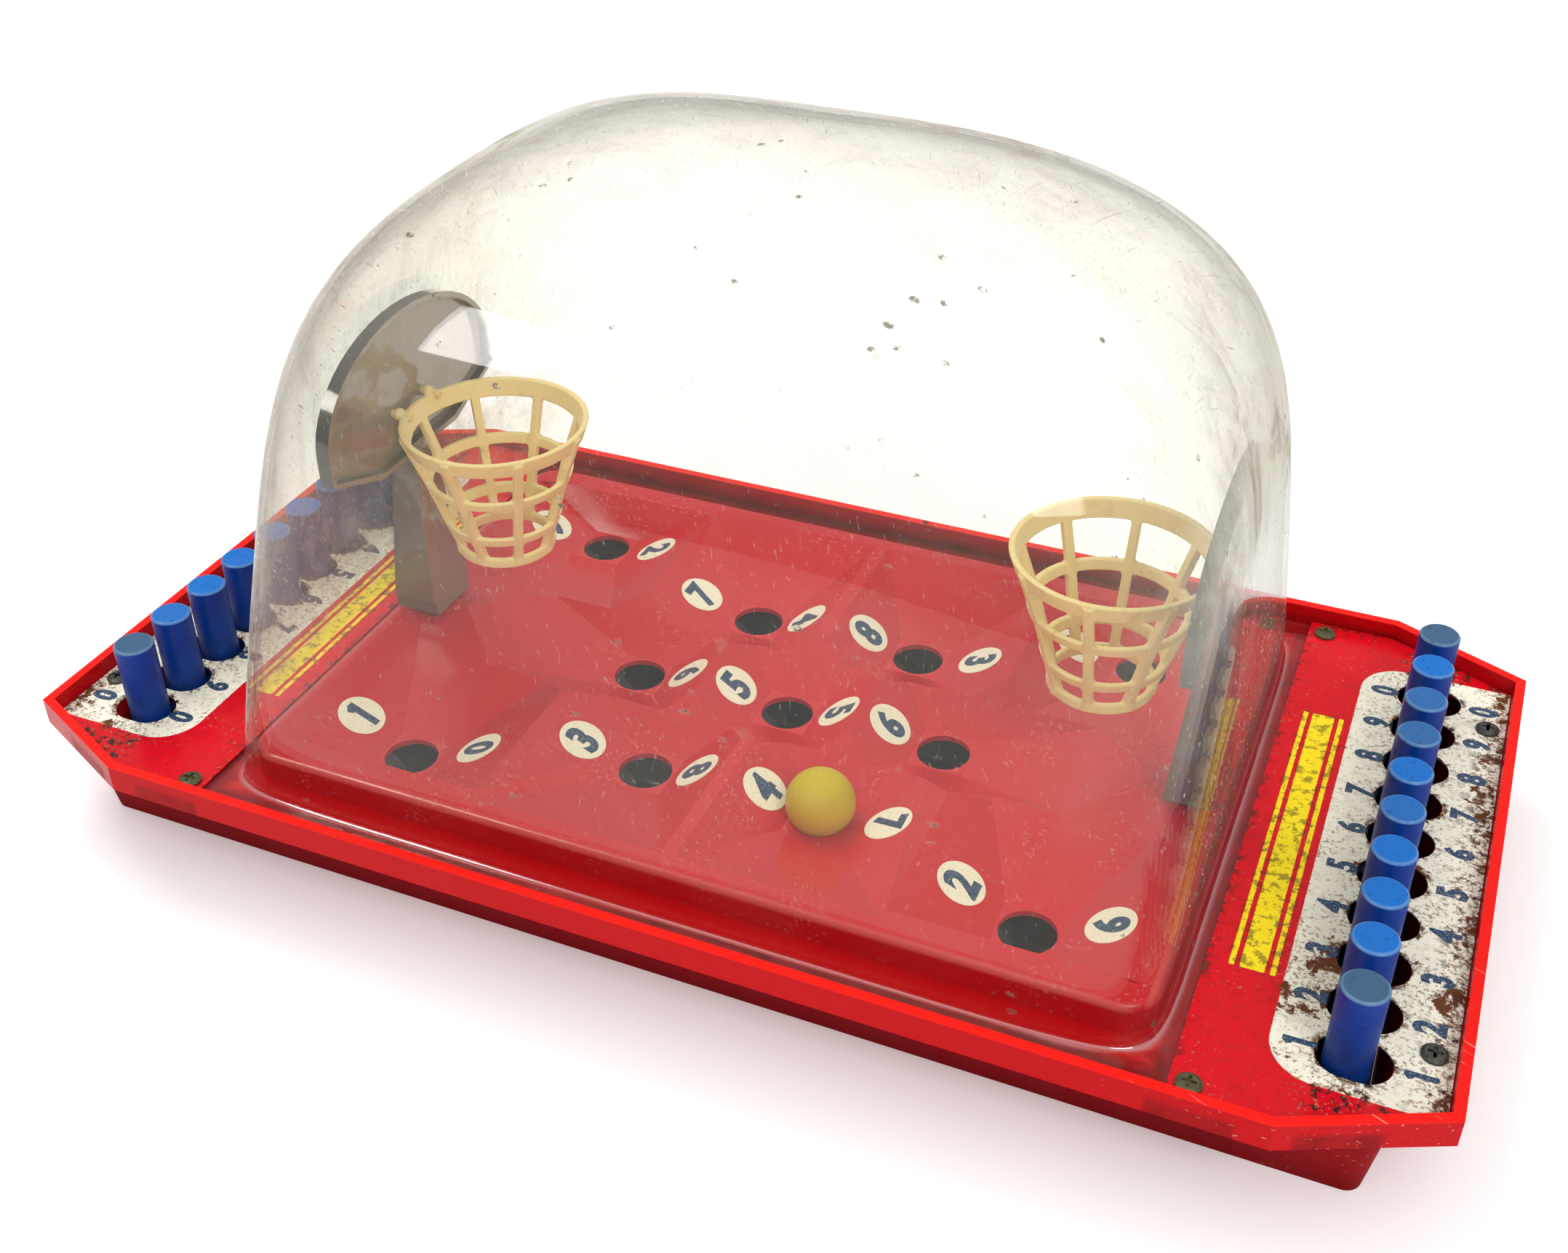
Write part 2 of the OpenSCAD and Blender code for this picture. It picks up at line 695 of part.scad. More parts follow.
// Half sizes and squareness of the dome's outline at share t of its height
function dome_x(t) = (dome_half_x - dome_lean * t) * pow(1 - pow(t, end_fall), end_round);
function dome_y(t) = dome_half_y * pow(1 - pow(t, side_fall), side_round);
function dome_square(t) = crown_square + (foot_square - crown_square) * exp(-t / square_fade);

// Directions around the dome, closer together at its four corners
function spread(j) =
    let (q = floor(j / ring_points))
    let (u = 2 * (j - q * ring_points) / ring_points - 1)
    90 * q + 45 + 45 * sign(u) * pow(abs(u), 1.5);
function outline_point(hx, hy, n, j, z) =
    let (d = [dome_half_x * cos(spread(j)), dome_half_y * sin(spread(j))])
    let (r = pow(pow(abs(d[0]) / hx, n) + pow(abs(d[1]) / hy, n), -1 / n))
    [d[0] * r, d[1] * r, z];
function outline_ring(hx, hy, n, z) =
    [for (j = [0 : 4 * ring_points - 1]) outline_point(hx, hy, n, j, z)];
function share(i) = (1 - cos(180 * i / ring_count)) / 2;
function wall_rings(list, thin) =
    [for (i = list)
        outline_ring(
            dome_x(share(i)) * (1 - thin / dome_half_x),
            dome_y(share(i)) * (1 - thin / dome_half_y),
            dome_square(share(i)),
            dome_foot + share(i) * (dome_h - thin)
        )];

module dome_shell() {
    outer = wall_rings([ring_count - 1 : -1 : 0], 0);
    inner = wall_rings([0 : ring_count - 1], dome_wall);
    foot = [
        outline_ring(dome_half_x + 0.3 * foot_r, dome_half_y + 0.3 * foot_r, foot_square, deck_top + 0.3 * foot_r),
        outline_ring(dome_half_x + foot_r, dome_half_y + foot_r, foot_square, deck_top),
        outline_ring(flange_half_x, flange_half_y, flange_square, deck_top),
        outline_ring(flange_half_x, flange_half_y, flange_square, seat_top),
        outline_ring(dome_half_x - dome_wall, dome_half_y - dome_wall, foot_square, seat_top)
    ];
    rings = concat(outer, foot, inner);
    m = 4 * ring_points;
    count = len(rings);
    last = 1 + count * m;
    points = concat(
        [[0, 0, dome_foot + dome_h]],
        [for (ring = rings) each ring],
        [[0, 0, dome_foot + dome_h - dome_wall]]
    );
    polyhedron(
        points = points,
        faces = concat(
            [for (j = [0 : m - 1]) [0, 1 + (j + 1) % m, 1 + j]],
            [for (k = [0 : count - 2]) for (j = [0 : m - 1])
                [1 + k * m + j, 1 + k * m + (j + 1) % m, 1 + (k + 1) * m + j]],
            [for (k = [0 : count - 2]) for (j = [0 : m - 1])
                [1 + k * m + (j + 1) % m, 1 + (k + 1) * m + (j + 1) % m, 1 + (k + 1) * m + j]],
            [for (j = [0 : m - 1]) [1 + (count - 1) * m + j, 1 + (count - 1) * m + (j + 1) % m, last]]
        )
    );
}

module dome() {
    color("whitesmoke", 0.35) difference() {
        dome_shell();
        four_ways(dome_screw_x, dome_screw_y) translate([0, 0, seat_top - cut])
            cylinder(r = plate_hole_r, h = flange_t + 2 * cut, $fn = round_fn);
    }
}

module slot(y) {
    r = slot_w / 2;
    translate([slot_in + r, y]) circle(r = r, $fn = round_fn);
    translate([slot_out - r, y]) circle(r = r, $fn = round_fn);
    translate([slot_in + r, y - r]) square([slot_out - slot_in - 2 * r, 2 * r]);
}

module end_plate() {
    color("red") translate([0, 0, deck_top]) linear_extrude(plate_t) difference() {
        intersection() {
            rim_outline(rim_t + plate_edge_gap);
            translate([plate_in, -tray_half_y]) square([tray_half_x, 2 * tray_half_y]);
        }
        for (k = [0 : 9]) slot(lane(k));
        for (s = [-1, 1]) {
            translate([dome_screw_x, s * dome_screw_y]) circle(r = plate_hole_r, $fn = round_fn);
            translate([plate_screw_x, s * plate_screw_y]) circle(r = plate_hole_r, $fn = round_fn);
        }
    }
}

// Backboard outline, moved in by inset, as [across, height]
module board_outline(inset) {
    half = board_half - inset;
    spring = board_top - arch_h;
    low = board_low;
    polygon(concat(
        [for (a = [0 : 7.5 : 180]) [half * cos(a), spring + (arch_h - inset) * sin(a)]],
        [[-half, low + board_slope_h + inset / 2], [-board_low_half + inset / 2, low + inset]],
        [[board_low_half - inset / 2, low + inset], [half, low + board_slope_h + inset / 2]]
    ));
}

// Lays an outline in the plane across the game, from x = from, len thick
module stand(from, len) {
    translate([from, 0, 0]) rotate([90, 0, 90]) linear_extrude(len) children();
}

module post_block(inset, top_extra) {
    foot_x = post_front + inset;
    top_x = board_x + inset;
    hull() {
        translate([foot_x, -post_foot_half + inset, court_top])
            cube([post_foot_d, 2 * (post_foot_half - inset), 0.01]);
        translate([top_x, -post_top_half + inset, board_low + post_lap + top_extra])
            cube([post_top_d, 2 * (post_top_half - inset), 0.01]);
    }
}

module backboard() {
    foot_in = post_foot_half - notch_w;
    color("dimgray") difference() {
        union() {
            difference() {
                stand(board_x, board_d) board_outline(0);
                stand(board_x - cut, board_d - board_t + cut) board_outline(board_t);
            }
            difference() {
                post_block(0, 0);
                post_block(post_t, -post_t);
            }
            translate([post_x, 0, court_top])
                cylinder(r = post_boss_r, h = post_screw_l + boss_floor, $fn = round_fn);
            translate([post_front + post_t / 2, -post_foot_half, court_top])
                cube([post_foot_d - post_t / 2, 2 * post_foot_half, post_t]);
        }
        for (s = [-1, 1]) {
            translate([post_front - cut, s * post_foot_half - notch_w, court_top - cut])
                cube([post_foot_d + 2 * cut, 2 * notch_w, notch_h + cut]);
            translate([board_face - cut, s * prong_y, basket_top - prong_drop]) rotate([0, 90, 0])
                cylinder(r = prong_r + prong_gap, h = board_t + 2 * cut, $fn = round_fn);
        }
        translate([post_x, 0, court_top - cut])
            cylinder(r = base_hole_r, h = post_screw_l + cut, $fn = round_fn);
    }
}

// Depths and outer radii of a basket's rings
hoop_drops = [0, ring2_drop, ring3_drop, ring4_drop];
hoop_radii = [ring_r, ring2_r, ring3_r, ring4_r];
function wall_radius(drop) = lookup(drop, [
    [0, ring_r], [ring2_drop, ring2_r], [ring3_drop, ring3_r], [ring4_drop, ring4_r]
]);

module hoop(drop, h) {
    r1 = wall_radius(drop);
    r2 = wall_radius(drop + h);
    rotate_extrude($fn = round_fn)
        polygon([[r1, -drop], [r2, -drop - h], [r2 - ring_t, -drop - h], [r1 - ring_t, -drop]]);
}

module basket() {
    skin = (ring_t - bar_t) / 2;
    color("wheat") translate([basket_x, 0, basket_top]) {
        hoop(0, band_h);
        for (i = [1 : 3]) hoop(hoop_drops[i], hoop_h);
        intersection() {
            rotate_extrude($fn = round_fn) polygon(concat(
                [for (i = [0 : 3]) [hoop_radii[i] - skin, -hoop_drops[i] - (i == 0 ? 1 : 0)]],
                [[ring4_r - skin, -ring4_drop - hoop_h + 0.4]],
                [[ring4_r - skin - bar_t, -ring4_drop - hoop_h + 0.4]],
                [for (i = [3 : -1 : 0]) [hoop_radii[i] - skin - bar_t, -hoop_drops[i] - (i == 0 ? 1 : 0)]]
            ));
            for (i = [0 : bar_count / 2 - 1]) rotate([0, 0, i * 360 / bar_count])
                cube([3 * ring_r, bar_w, 3 * ring4_drop], center = true);
        }
        for (s = [-1, 1]) translate([0, s * prong_y, -prong_drop]) {
            start = sqrt(ring_r * ring_r - prong_y * prong_y) - ring_t - prong_root;
            translate([start, 0, 0]) rotate([0, 90, 0])
                cylinder(r = prong_r, h = board_back + prong_end - basket_x - start, $fn = round_fn);
            translate([board_face - knob_r - knob_gap - basket_x, 0, 0]) sphere(r = knob_r, $fn = round_fn);
        }
    }
}

module ball() {
    color("goldenrod") translate([inner_pit_x, -inner_pit_y, ball_z]) sphere(r = ball_r, $fn = 96);
}

module key(k) {
    tail_y = -strip_offset;
    color("royalblue") translate([key_x, lane(k), 0]) difference() {
        union() {
            rotate_extrude($fn = round_fn) polygon([
                [0, cap_low], [key_r, cap_low], [key_r, key_top - cap_chamfer],
                [key_r - cap_chamfer, key_top], [0, key_top]
            ]);
            translate([0, 0, shaft_z]) rotate([90, 0, 0])
                cylinder(d = hub_d, h = hub_w, center = true, $fn = round_fn);
            translate([-tail_t / 2, tail_y - tail_w / 2, tip_z])
                cube([tail_t, tail_w, shaft_z - tip_z]);
            translate([0, tail_y, tip_z]) rotate([90, 0, 0])
                cylinder(r = tip_r, h = tail_w, center = true, $fn = round_fn);
        }
        translate([0, 0, shaft_z]) rotate([90, 0, 0])
            cylinder(r = shaft_r + shaft_gap, h = hub_w + 2, center = true, $fn = round_fn);
    }
}

module striker(k) {
    hx = targets[k][0];
    hy = targets[k][1];
    y = strip_y(k);
    half = strip_w / 2;
    color("lightgray") {
        translate([hx + arm_in, y - half, strip_low])
            cube([key_x + fork_out - hx - arm_in, strip_w, strip_t]);
        for (s = [-1, 1])
            translate([key_x + s * (fork_in + tab_t / 2), y, strip_top + tab_h / 2 - 0.05])
                cube([tab_t, strip_w, tab_h + 0.1], center = true);
        translate([hx + arm_in, y - half, strip_low])
            cube([arm_d, strip_w, arm_z + arm_t - strip_low]);
        translate([hx + arm_in, min(y - half, hy - finger_w / 2), arm_z])
            cube([arm_d, max(y + half, hy + finger_w / 2) - min(y - half, hy - finger_w / 2), arm_t]);
        translate([hx, hy + finger_w / 2, 0]) rotate([90, 0, 0]) linear_extrude(finger_w) polygon([
            [finger_in, arm_z], [finger_out, arm_z], [finger_out, ramp_low + ramp_w],
            [finger_in + ramp_w, ramp_low + ramp_w], [finger_in, ramp_low]
        ]);
    }
}

module key_shaft() {
    color("silver") translate([key_x, 0, shaft_z]) rotate([90, 0, 0])
        cylinder(r = shaft_r, h = 2 * boss_y + upright_t, center = true, $fn = round_fn);
}

// Leaf spring with one finger on the inner side of each key's tail
module return_comb() {
    tail_face = key_x - tail_t / 2;
    touch_z = tip_z + touch_rise;
    color("slategray") {
        translate([comb_x - comb_t / 2, -boss_y + 0.2, comb_z])
            cube([comb_t, 2 * boss_y - 0.4, comb_h]);
        for (k = [0 : 9])
            translate([0, strip_y(k) + comb_finger_w / 2, 0])
                rotate([90, 0, 0]) linear_extrude(comb_finger_w) polygon([
                    [comb_x - comb_t / 2, comb_z + 0.4], [comb_x - comb_t / 2, comb_z],
                    [tail_face, touch_z - comb_t], [tail_face, touch_z],
                    [comb_x + comb_t / 2, comb_z + 0.4]
                ]);
    }
}

// Screw under its head's lower face at z = 0, head upwards, with a cross recess
module screw(head_r, shank_r, len) {
    difference() {
        union() {
            cylinder(r = head_r, h = head_h / 2, $fn = round_fn);
            translate([0, 0, head_h / 2 - 0.01])
                cylinder(r1 = head_r, r2 = head_r * 0.7, h = head_h / 2, $fn = round_fn);
            translate([0, 0, -len]) cylinder(r = shank_r, h = len + head_h / 4, $fn = round_fn);
        }
        for (a = [0, 90]) rotate([0, 0, a])
            translate([0, 0, head_h])
                cube([head_r * 1.1, head_r * 0.26, head_h], center = true);
    }
}

module plate_screws() {
    color("darkolivegreen") at_plate_screws() translate([0, 0, deck_top + plate_t])
        screw(plate_head_d / 2, plate_shank_r, plate_screw_l - 0.5);
}

module post_screws() {
    color("gray") both_ends() translate([post_x, 0, court_top - post_boss_h])
        rotate([180, 0, 0]) screw(base_head_d / 2, base_shank_r, post_screw_l);
}

module base_screws() {
    color("gray") at_base_screws() translate([0, 0, cover_z])
        rotate([180, 0, 0]) screw(base_head_d / 2, base_shank_r, base_screw_l);
}

tray();
base_cover();
court();
number_stickers();
dome();
end_plate();  // end_plate_right
rotate([0, 0, 180]) end_plate();  // end_plate_left
backboard();  // backboard_right
rotate([0, 0, 180]) backboard();  // backboard_left
basket();  // basket_right
rotate([0, 0, 180]) basket();  // basket_left
ball();
for (k = [0 : 9]) {
    key(k);
    rotate([0, 0, 180]) key(k);
    striker(k);
    rotate([0, 0, 180]) striker(k);
}
key_shaft();  // key_shaft_right
rotate([0, 0, 180]) key_shaft();  // key_shaft_left
return_comb();  // return_comb_right
rotate([0, 0, 180]) return_comb();  // return_comb_left
plate_screws();
post_screws();
base_screws();
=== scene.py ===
import math

import bmesh
import bpy
from mathutils import Matrix, Vector


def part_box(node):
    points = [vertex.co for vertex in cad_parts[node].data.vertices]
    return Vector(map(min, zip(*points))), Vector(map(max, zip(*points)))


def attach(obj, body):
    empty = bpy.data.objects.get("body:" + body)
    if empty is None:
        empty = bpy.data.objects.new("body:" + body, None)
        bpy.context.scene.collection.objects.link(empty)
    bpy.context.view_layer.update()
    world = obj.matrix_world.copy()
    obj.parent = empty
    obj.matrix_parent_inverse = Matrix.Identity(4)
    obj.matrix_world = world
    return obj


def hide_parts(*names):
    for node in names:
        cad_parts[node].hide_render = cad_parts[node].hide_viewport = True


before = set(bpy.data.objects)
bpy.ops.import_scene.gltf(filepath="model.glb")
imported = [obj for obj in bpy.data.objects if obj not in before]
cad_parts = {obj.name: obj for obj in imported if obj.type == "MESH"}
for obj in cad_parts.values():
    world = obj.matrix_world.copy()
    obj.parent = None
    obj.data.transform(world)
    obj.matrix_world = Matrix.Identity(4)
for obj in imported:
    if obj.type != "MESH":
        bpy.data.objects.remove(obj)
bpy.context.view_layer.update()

# Camera
# The photograph is taken from above the front, right of the middle, with a normal lens.
# Its frame is 2156 wide and 1723 high.
camera_right = Vector((0.92070, 0.39024, -0.00524))
camera_up = Vector((-0.22029, 0.53074, 0.81841))
camera_back = camera_right.cross(camera_up)
camera_lens = bpy.data.cameras.new("camera")
camera_lens.sensor_fit = "HORIZONTAL"
camera_lens.sensor_width = 36
camera_lens.lens = 40.88
camera = bpy.data.objects.new("camera", camera_lens)
camera.matrix_world = Matrix.LocRotScale(
    Vector((0.1489, -0.3496, 0.3186)),
    Matrix((camera_right, camera_up, camera_back)).transposed().to_quaternion(),
    None,
)
bpy.context.scene.collection.objects.link(camera)
bpy.context.scene.camera = camera

# Studio light
# A white tent, bright overhead and darker towards the horizon, with softboxes over the far left
# and the near right side. A window at the near left shows only as a reflection.
bpy.context.scene.view_settings.view_transform = "Standard"
tent = bpy.data.worlds.new("tent")
bpy.context.scene.world = tent
tent.use_nodes = True
tent_nodes = tent.node_tree.nodes
tent_links = tent.node_tree.links
tent_place = tent_nodes.new("ShaderNodeTexCoord")
tent_axes = tent_nodes.new("ShaderNodeSeparateXYZ")
tent_shade = tent_nodes.new("ShaderNodeValToRGB")
tent_links.new(tent_place.outputs["Generated"], tent_axes.inputs[0])
tent_links.new(tent_axes.outputs["Z"], tent_shade.inputs[0])
tent_links.new(tent_shade.outputs[0], tent_nodes["Background"].inputs["Color"])
tent_shade.color_ramp.elements[0].position = 0.0
tent_shade.color_ramp.elements[0].color = (0.26, 0.26, 0.27, 1)
tent_shade.color_ramp.elements[1].position = 0.85
tent_shade.color_ramp.elements[1].color = (1, 1, 1, 1)
tent_nodes["Background"].inputs["Strength"].default_value = 1.0


def softbox(name, place, aim, width, height, watts):
    lamp = bpy.data.lights.new(name, "AREA")
    lamp.shape = "RECTANGLE"
    lamp.size = width
    lamp.size_y = height
    lamp.energy = watts
    stand = bpy.data.objects.new(name, lamp)
    stand.location = place
    stand.rotation_euler = (Vector(aim) - Vector(place)).to_track_quat("-Z", "Y").to_euler()
    bpy.context.scene.collection.objects.link(stand)
    return stand


softbox_left = softbox("softbox_left", (-0.75, 0.55, 1.15), (0, 0, 0.05), 1.0, 0.8, 9)
softbox_left.visible_glossy = False
softbox("softbox_right", (0.75, -0.75, 1.0), (0.05, 0, 0.05), 0.6, 0.4, 6)
window = softbox("window", (-0.548, -0.479, 0.721), (-0.075, -0.088, 0.03), 0.26, 0.25, 3.0)
window_turn = math.radians(19)
window.rotation_euler.rotate_axis("Z", window_turn)
window.visible_diffuse = False


class Finish:
    """A procedural material. Each call adds a node and gives back its output socket."""

    def __init__(self, name):
        self.material = bpy.data.materials.new(name)
        self.material.use_nodes = True
        self.tree = self.material.node_tree
        self.shader = self.tree.nodes["Principled BSDF"]
        self.place = self.tree.nodes.new("ShaderNodeTexCoord").outputs["Object"]
        axes = self.add("ShaderNodeSeparateXYZ", {0: self.place}, None)
        self.x, self.y, self.z = axes.outputs

    def add(self, kind, inputs, output=0, **settings):
        node = self.tree.nodes.new(kind)
        for name, value in settings.items():
            setattr(node, name, value)
        for name, value in inputs.items():
            if isinstance(value, bpy.types.NodeSocket):
                self.tree.links.new(value, node.inputs[name])
            else:
                node.inputs[name].default_value = value
        return node if output is None else node.outputs[output]

    def stretched(self, sizes, turn=(0, 0, 0)):
        turned = self.add("ShaderNodeMapping", {"Vector": self.place, "Rotation": turn})
        return self.add("ShaderNodeMapping", {"Vector": turned, "Scale": [1 / s for s in sizes]})

    def noise(self, size, detail=3, rough=0.5, warp=0, turn=(0, 0, 0)):
        sizes = size if isinstance(size, tuple) else (size, size, size)
        inputs = {"Vector": self.stretched(sizes, turn), "Scale": 1, "Detail": detail}
        inputs.update({"Roughness": rough, "Distortion": warp})
        return self.add("ShaderNodeTexNoise", inputs)

    def cells(self, sizes, turn=(0, 0, 0)):
        return self.add("ShaderNodeTexVoronoi", {"Vector": self.stretched(sizes, turn), "Scale": 1})

    def calc(self, kind, a, b=0.0, c=0.0, clamp=False):
        return self.add("ShaderNodeMath", {0: a, 1: b, 2: c}, operation=kind, use_clamp=clamp)

    def step(self, value, low, high, to_low=0.0, to_high=1.0):
        inputs = {"Value": value, "From Min": low, "From Max": high, "To Min": to_low, "To Max": to_high}
        return self.add("ShaderNodeMapRange", inputs, interpolation_type="SMOOTHSTEP")

    def tint(self, share, a, b):
        a = a if isinstance(a, bpy.types.NodeSocket) else (*a, 1)
        b = b if isinstance(b, bpy.types.NodeSocket) else (*b, 1)
        node = self.add("ShaderNodeMix", {0: share, 6: a, 7: b}, None, data_type="RGBA")
        return node.outputs[2]

    def spots(self, size, share, spread, detail=2):
        """Soft-edged spots that cover about this share of the surface."""
        edge = 0.5 + 0.33 * (0.5 - share)
        return self.step(self.noise(size, detail), edge - spread / 2, edge + spread / 2)

    def bump(self, height, depth, under=None):
        inputs = {"Height": height, "Distance": depth, "Strength": 1.0}
        if under is not None:
            inputs["Normal"] = under
        return self.add("ShaderNodeBump", inputs)

    def set(self, **sockets):
        names = {"color": "Base Color", "rough": "Roughness", "metal": "Metallic", "normal": "Normal"}
        for name, value in sockets.items():
            socket = self.shader.inputs[names.get(name, name.replace("_", " "))]
            if isinstance(value, bpy.types.NodeSocket):
                self.tree.links.new(value, socket)
            else:
                socket.default_value = value
        return self


# Floor
# A sheet of white board under the game, far larger than the view, lit a little from below as
# on a photographer's light table, so that only a faint shadow is left.
board = Finish("white_board")
board_shade = board.tint(board.noise(0.3, 4), (0.92, 0.92, 0.92), (0.95, 0.95, 0.95))
board.set(color=board_shade, rough=board.step(board.noise(0.05, 4), 0.3, 0.7, 0.55, 0.7))
board.set(normal=board.bump(board.noise(0.004, 3), 0.00005), Specular_IOR_Level=0.1)
board.set(Emission_Color=(1, 1, 1, 1), Emission_Strength=0.16)
floor_mesh = bmesh.new()
bmesh.ops.create_grid(floor_mesh, x_segments=4, y_segments=4, size=4)
floor_data = bpy.data.meshes.new("floor")
floor_mesh.to_mesh(floor_data)
floor_data.materials.append(board.material)
floor = bpy.data.objects.new("floor", floor_data)
bpy.context.scene.collection.objects.link(floor)


# Tray
# One red moulding: an eight-sided rim around a deck, on a narrower base that flares upwards.
# Its outer edges are softly rounded by the mould.
def reworked(node, flat=0.6):
    """A copy of a CAD node's mesh, with its corners merged and its flat faces made whole."""
    merge_distance = 4e-6
    copy = bmesh.new()
    copy.from_mesh(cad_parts[node].data)
    bmesh.ops.remove_doubles(copy, verts=copy.verts, dist=merge_distance)
    bmesh.ops.dissolve_limit(copy, angle_limit=math.radians(flat), verts=copy.verts, edges=copy.edges)
    return copy


def soften(shape, width, segments, pick=None, sharp=20):
    """Rounds off the sharp edges, or those of them that pick chooses by their middle."""
    chosen = []
    for edge in shape.edges:
        if len(edge.link_faces) != 2 or edge.calc_face_angle() < math.radians(sharp):
            continue
        if pick is None or pick((edge.verts[0].co + edge.verts[1].co) / 2, edge):
            chosen.append(edge)
    bmesh.ops.bevel(
        shape,
        geom=chosen,
        offset=width,
        offset_type="OFFSET",
        segments=segments,
        affect="EDGES",
        profile=0.5,
        material=-1,
        clamp_overlap=True,
    )


def dressed(name, shape, finish, body, nodes=(), sharp=40, weighted=True):
    """Makes a bmesh into a piece that rides on a body and stands for CAD nodes."""
    mesh = bpy.data.meshes.new(name)
    shape.to_mesh(mesh)
    shape.free()
    mesh.materials.append(finish.material)
    mesh.shade_smooth()
    mesh.set_sharp_from_angle(angle=math.radians(sharp))
    piece = bpy.data.objects.new(name, mesh)
    bpy.context.scene.collection.objects.link(piece)
    if weighted:
        normals = piece.modifiers.new("normals", "WEIGHTED_NORMAL")
        normals.keep_sharp = True
        normals.weight = 100
    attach(piece, body)
    if nodes:
        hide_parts(*nodes)
    return piece


rim_top = 0.031
deck_top = 0.026
base_top = 0.0232
base_shade = 0.0215
red_plastic = Finish("red_plastic")
tray_clean = red_plastic.tint(red_plastic.noise(0.05, 3), (0.50, 0.003, 0.006), (0.58, 0.004, 0.008))
# Painted highlight: the rim's top face is tinted a lighter orange-red where light from above falls on it.
rim_top_painted_highlight = red_plastic.step(red_plastic.z, rim_top - 0.0004, rim_top - 0.0001)
tray_clean = red_plastic.tint(rim_top_painted_highlight, tray_clean, (0.86, 0.012, 0.008))
tray_side = red_plastic.calc("ABSOLUTE", red_plastic.y)
tray_end = red_plastic.calc("ABSOLUTE", red_plastic.x)
side_gutter = red_plastic.calc(
    "MULTIPLY",
    red_plastic.step(tray_side, 0.0858, 0.0870),
    red_plastic.step(tray_side, 0.0945, 0.0937),
)
end_gutter = red_plastic.calc(
    "MULTIPLY",
    red_plastic.step(tray_end, 0.1195, 0.1210),
    red_plastic.step(tray_end, 0.1400, 0.1380),
)
# Grime and painted shade in the gutters between the rim and the dome: the low deck there is darkened all
# over, and more in patches.
deck_grime_and_shade = red_plastic.calc(
    "MULTIPLY",
    red_plastic.step(red_plastic.z, deck_top + 0.003, deck_top + 0.0005),
    red_plastic.step(red_plastic.noise(0.009, 5, 0.7), 0.45, 0.75, 0.45, 0.8),
)
gutters = red_plastic.calc("MAXIMUM", side_gutter, end_gutter)
deck_grime_and_shade = red_plastic.calc("MULTIPLY", deck_grime_and_shade, gutters)
tray_nicks = red_plastic.calc(
    "MULTIPLY",
    red_plastic.step(red_plastic.noise((0.005, 0.003, 0.0012), 3, 0.6), 0.68, 0.73, 0, 0.6),
    red_plastic.step(red_plastic.noise(0.035, 1), 0.56, 0.62),
)
# Painted shade: the tray darkens towards the bottom of its base.
low_painted_shade = red_plastic.step(red_plastic.z, 0.012, 0.0, 0, 0.5)
# Real nicks and grime together with the painted shade above; the mix darkens the colour and roughens the
# surface.
tray_dirt_and_shade = red_plastic.calc("MAXIMUM", deck_grime_and_shade, red_plastic.calc("MAXIMUM", tray_nicks, low_painted_shade))
tray_color = red_plastic.tint(tray_dirt_and_shade, tray_clean, (0.13, 0.003, 0.004))
scuff_lines = red_plastic.calc(
    "MULTIPLY",
    red_plastic.step(red_plastic.noise((0.016, 0.0008, 0.0006), 2, turn=(0, 0, 0.42)), 0.68, 0.73),
    red_plastic.step(red_plastic.calc("SUBTRACT", red_plastic.x, red_plastic.y), 0.19, 0.25),
)
scuff_share = red_plastic.calc("MULTIPLY", scuff_lines, 0.6)
tray_color = red_plastic.tint(scuff_share, tray_color, (0.85, 0.45, 0.42))
tray_rough = red_plastic.step(red_plastic.noise(0.012, 4, 0.6), 0.3, 0.7, 0.20, 0.34)
tray_rough = red_plastic.calc("ADD", tray_rough, red_plastic.calc("MULTIPLY", tray_dirt_and_shade, 0.25))
# Painted shade on the base below the rim: darker and duller below base_top.
tray_color = red_plastic.tint(
    red_plastic.step(red_plastic.z, base_top, base_shade, 0, 0.62), tray_color, (0.10, 0.001, 0.003)
)
tray_rough = red_plastic.calc(
    "ADD", tray_rough, red_plastic.step(red_plastic.z, base_top, base_shade, 0, 0.3)
)
red_plastic.set(color=tray_color, rough=tray_rough, Specular_IOR_Level=0.07)
tray_waves = red_plastic.bump(red_plastic.noise(0.02, 2), 0.0002)
red_plastic.set(normal=red_plastic.bump(scuff_lines, -0.00003, tray_waves))


def tray_edge(middle, edge):
    return middle.z > 0.0229 or abs(edge.verts[0].co.z - edge.verts[1].co.z) > 0.01


tray = reworked("tray")
soften(tray, 0.0005, 3, tray_edge)
dressed("tray_moulding", tray, red_plastic, "frame", ["tray"])

# Court
# A second red moulding inside the dome. Eleven four-sided pits meet along soft ridges, and
# each ends in a round hole for the ball. A flat border runs round it.
court_red = Finish("court_red")
court_color = court_red.tint(court_red.noise(0.06, 4), (0.50, 0.004, 0.012), (0.58, 0.006, 0.016))
court_dust = court_red.calc(
    "MULTIPLY",
    court_red.spots(0.0011, 0.10, 0.05),
    court_red.step(court_red.noise(0.02, 3), 0.45, 0.65),
)
court_color = court_red.tint(court_red.calc("MULTIPLY", court_dust, 0.16), court_color, (0.75, 0.55, 0.5))
court_side = court_red.calc("ABSOLUTE", court_red.y)
court_end = court_red.calc("ABSOLUTE", court_red.x)
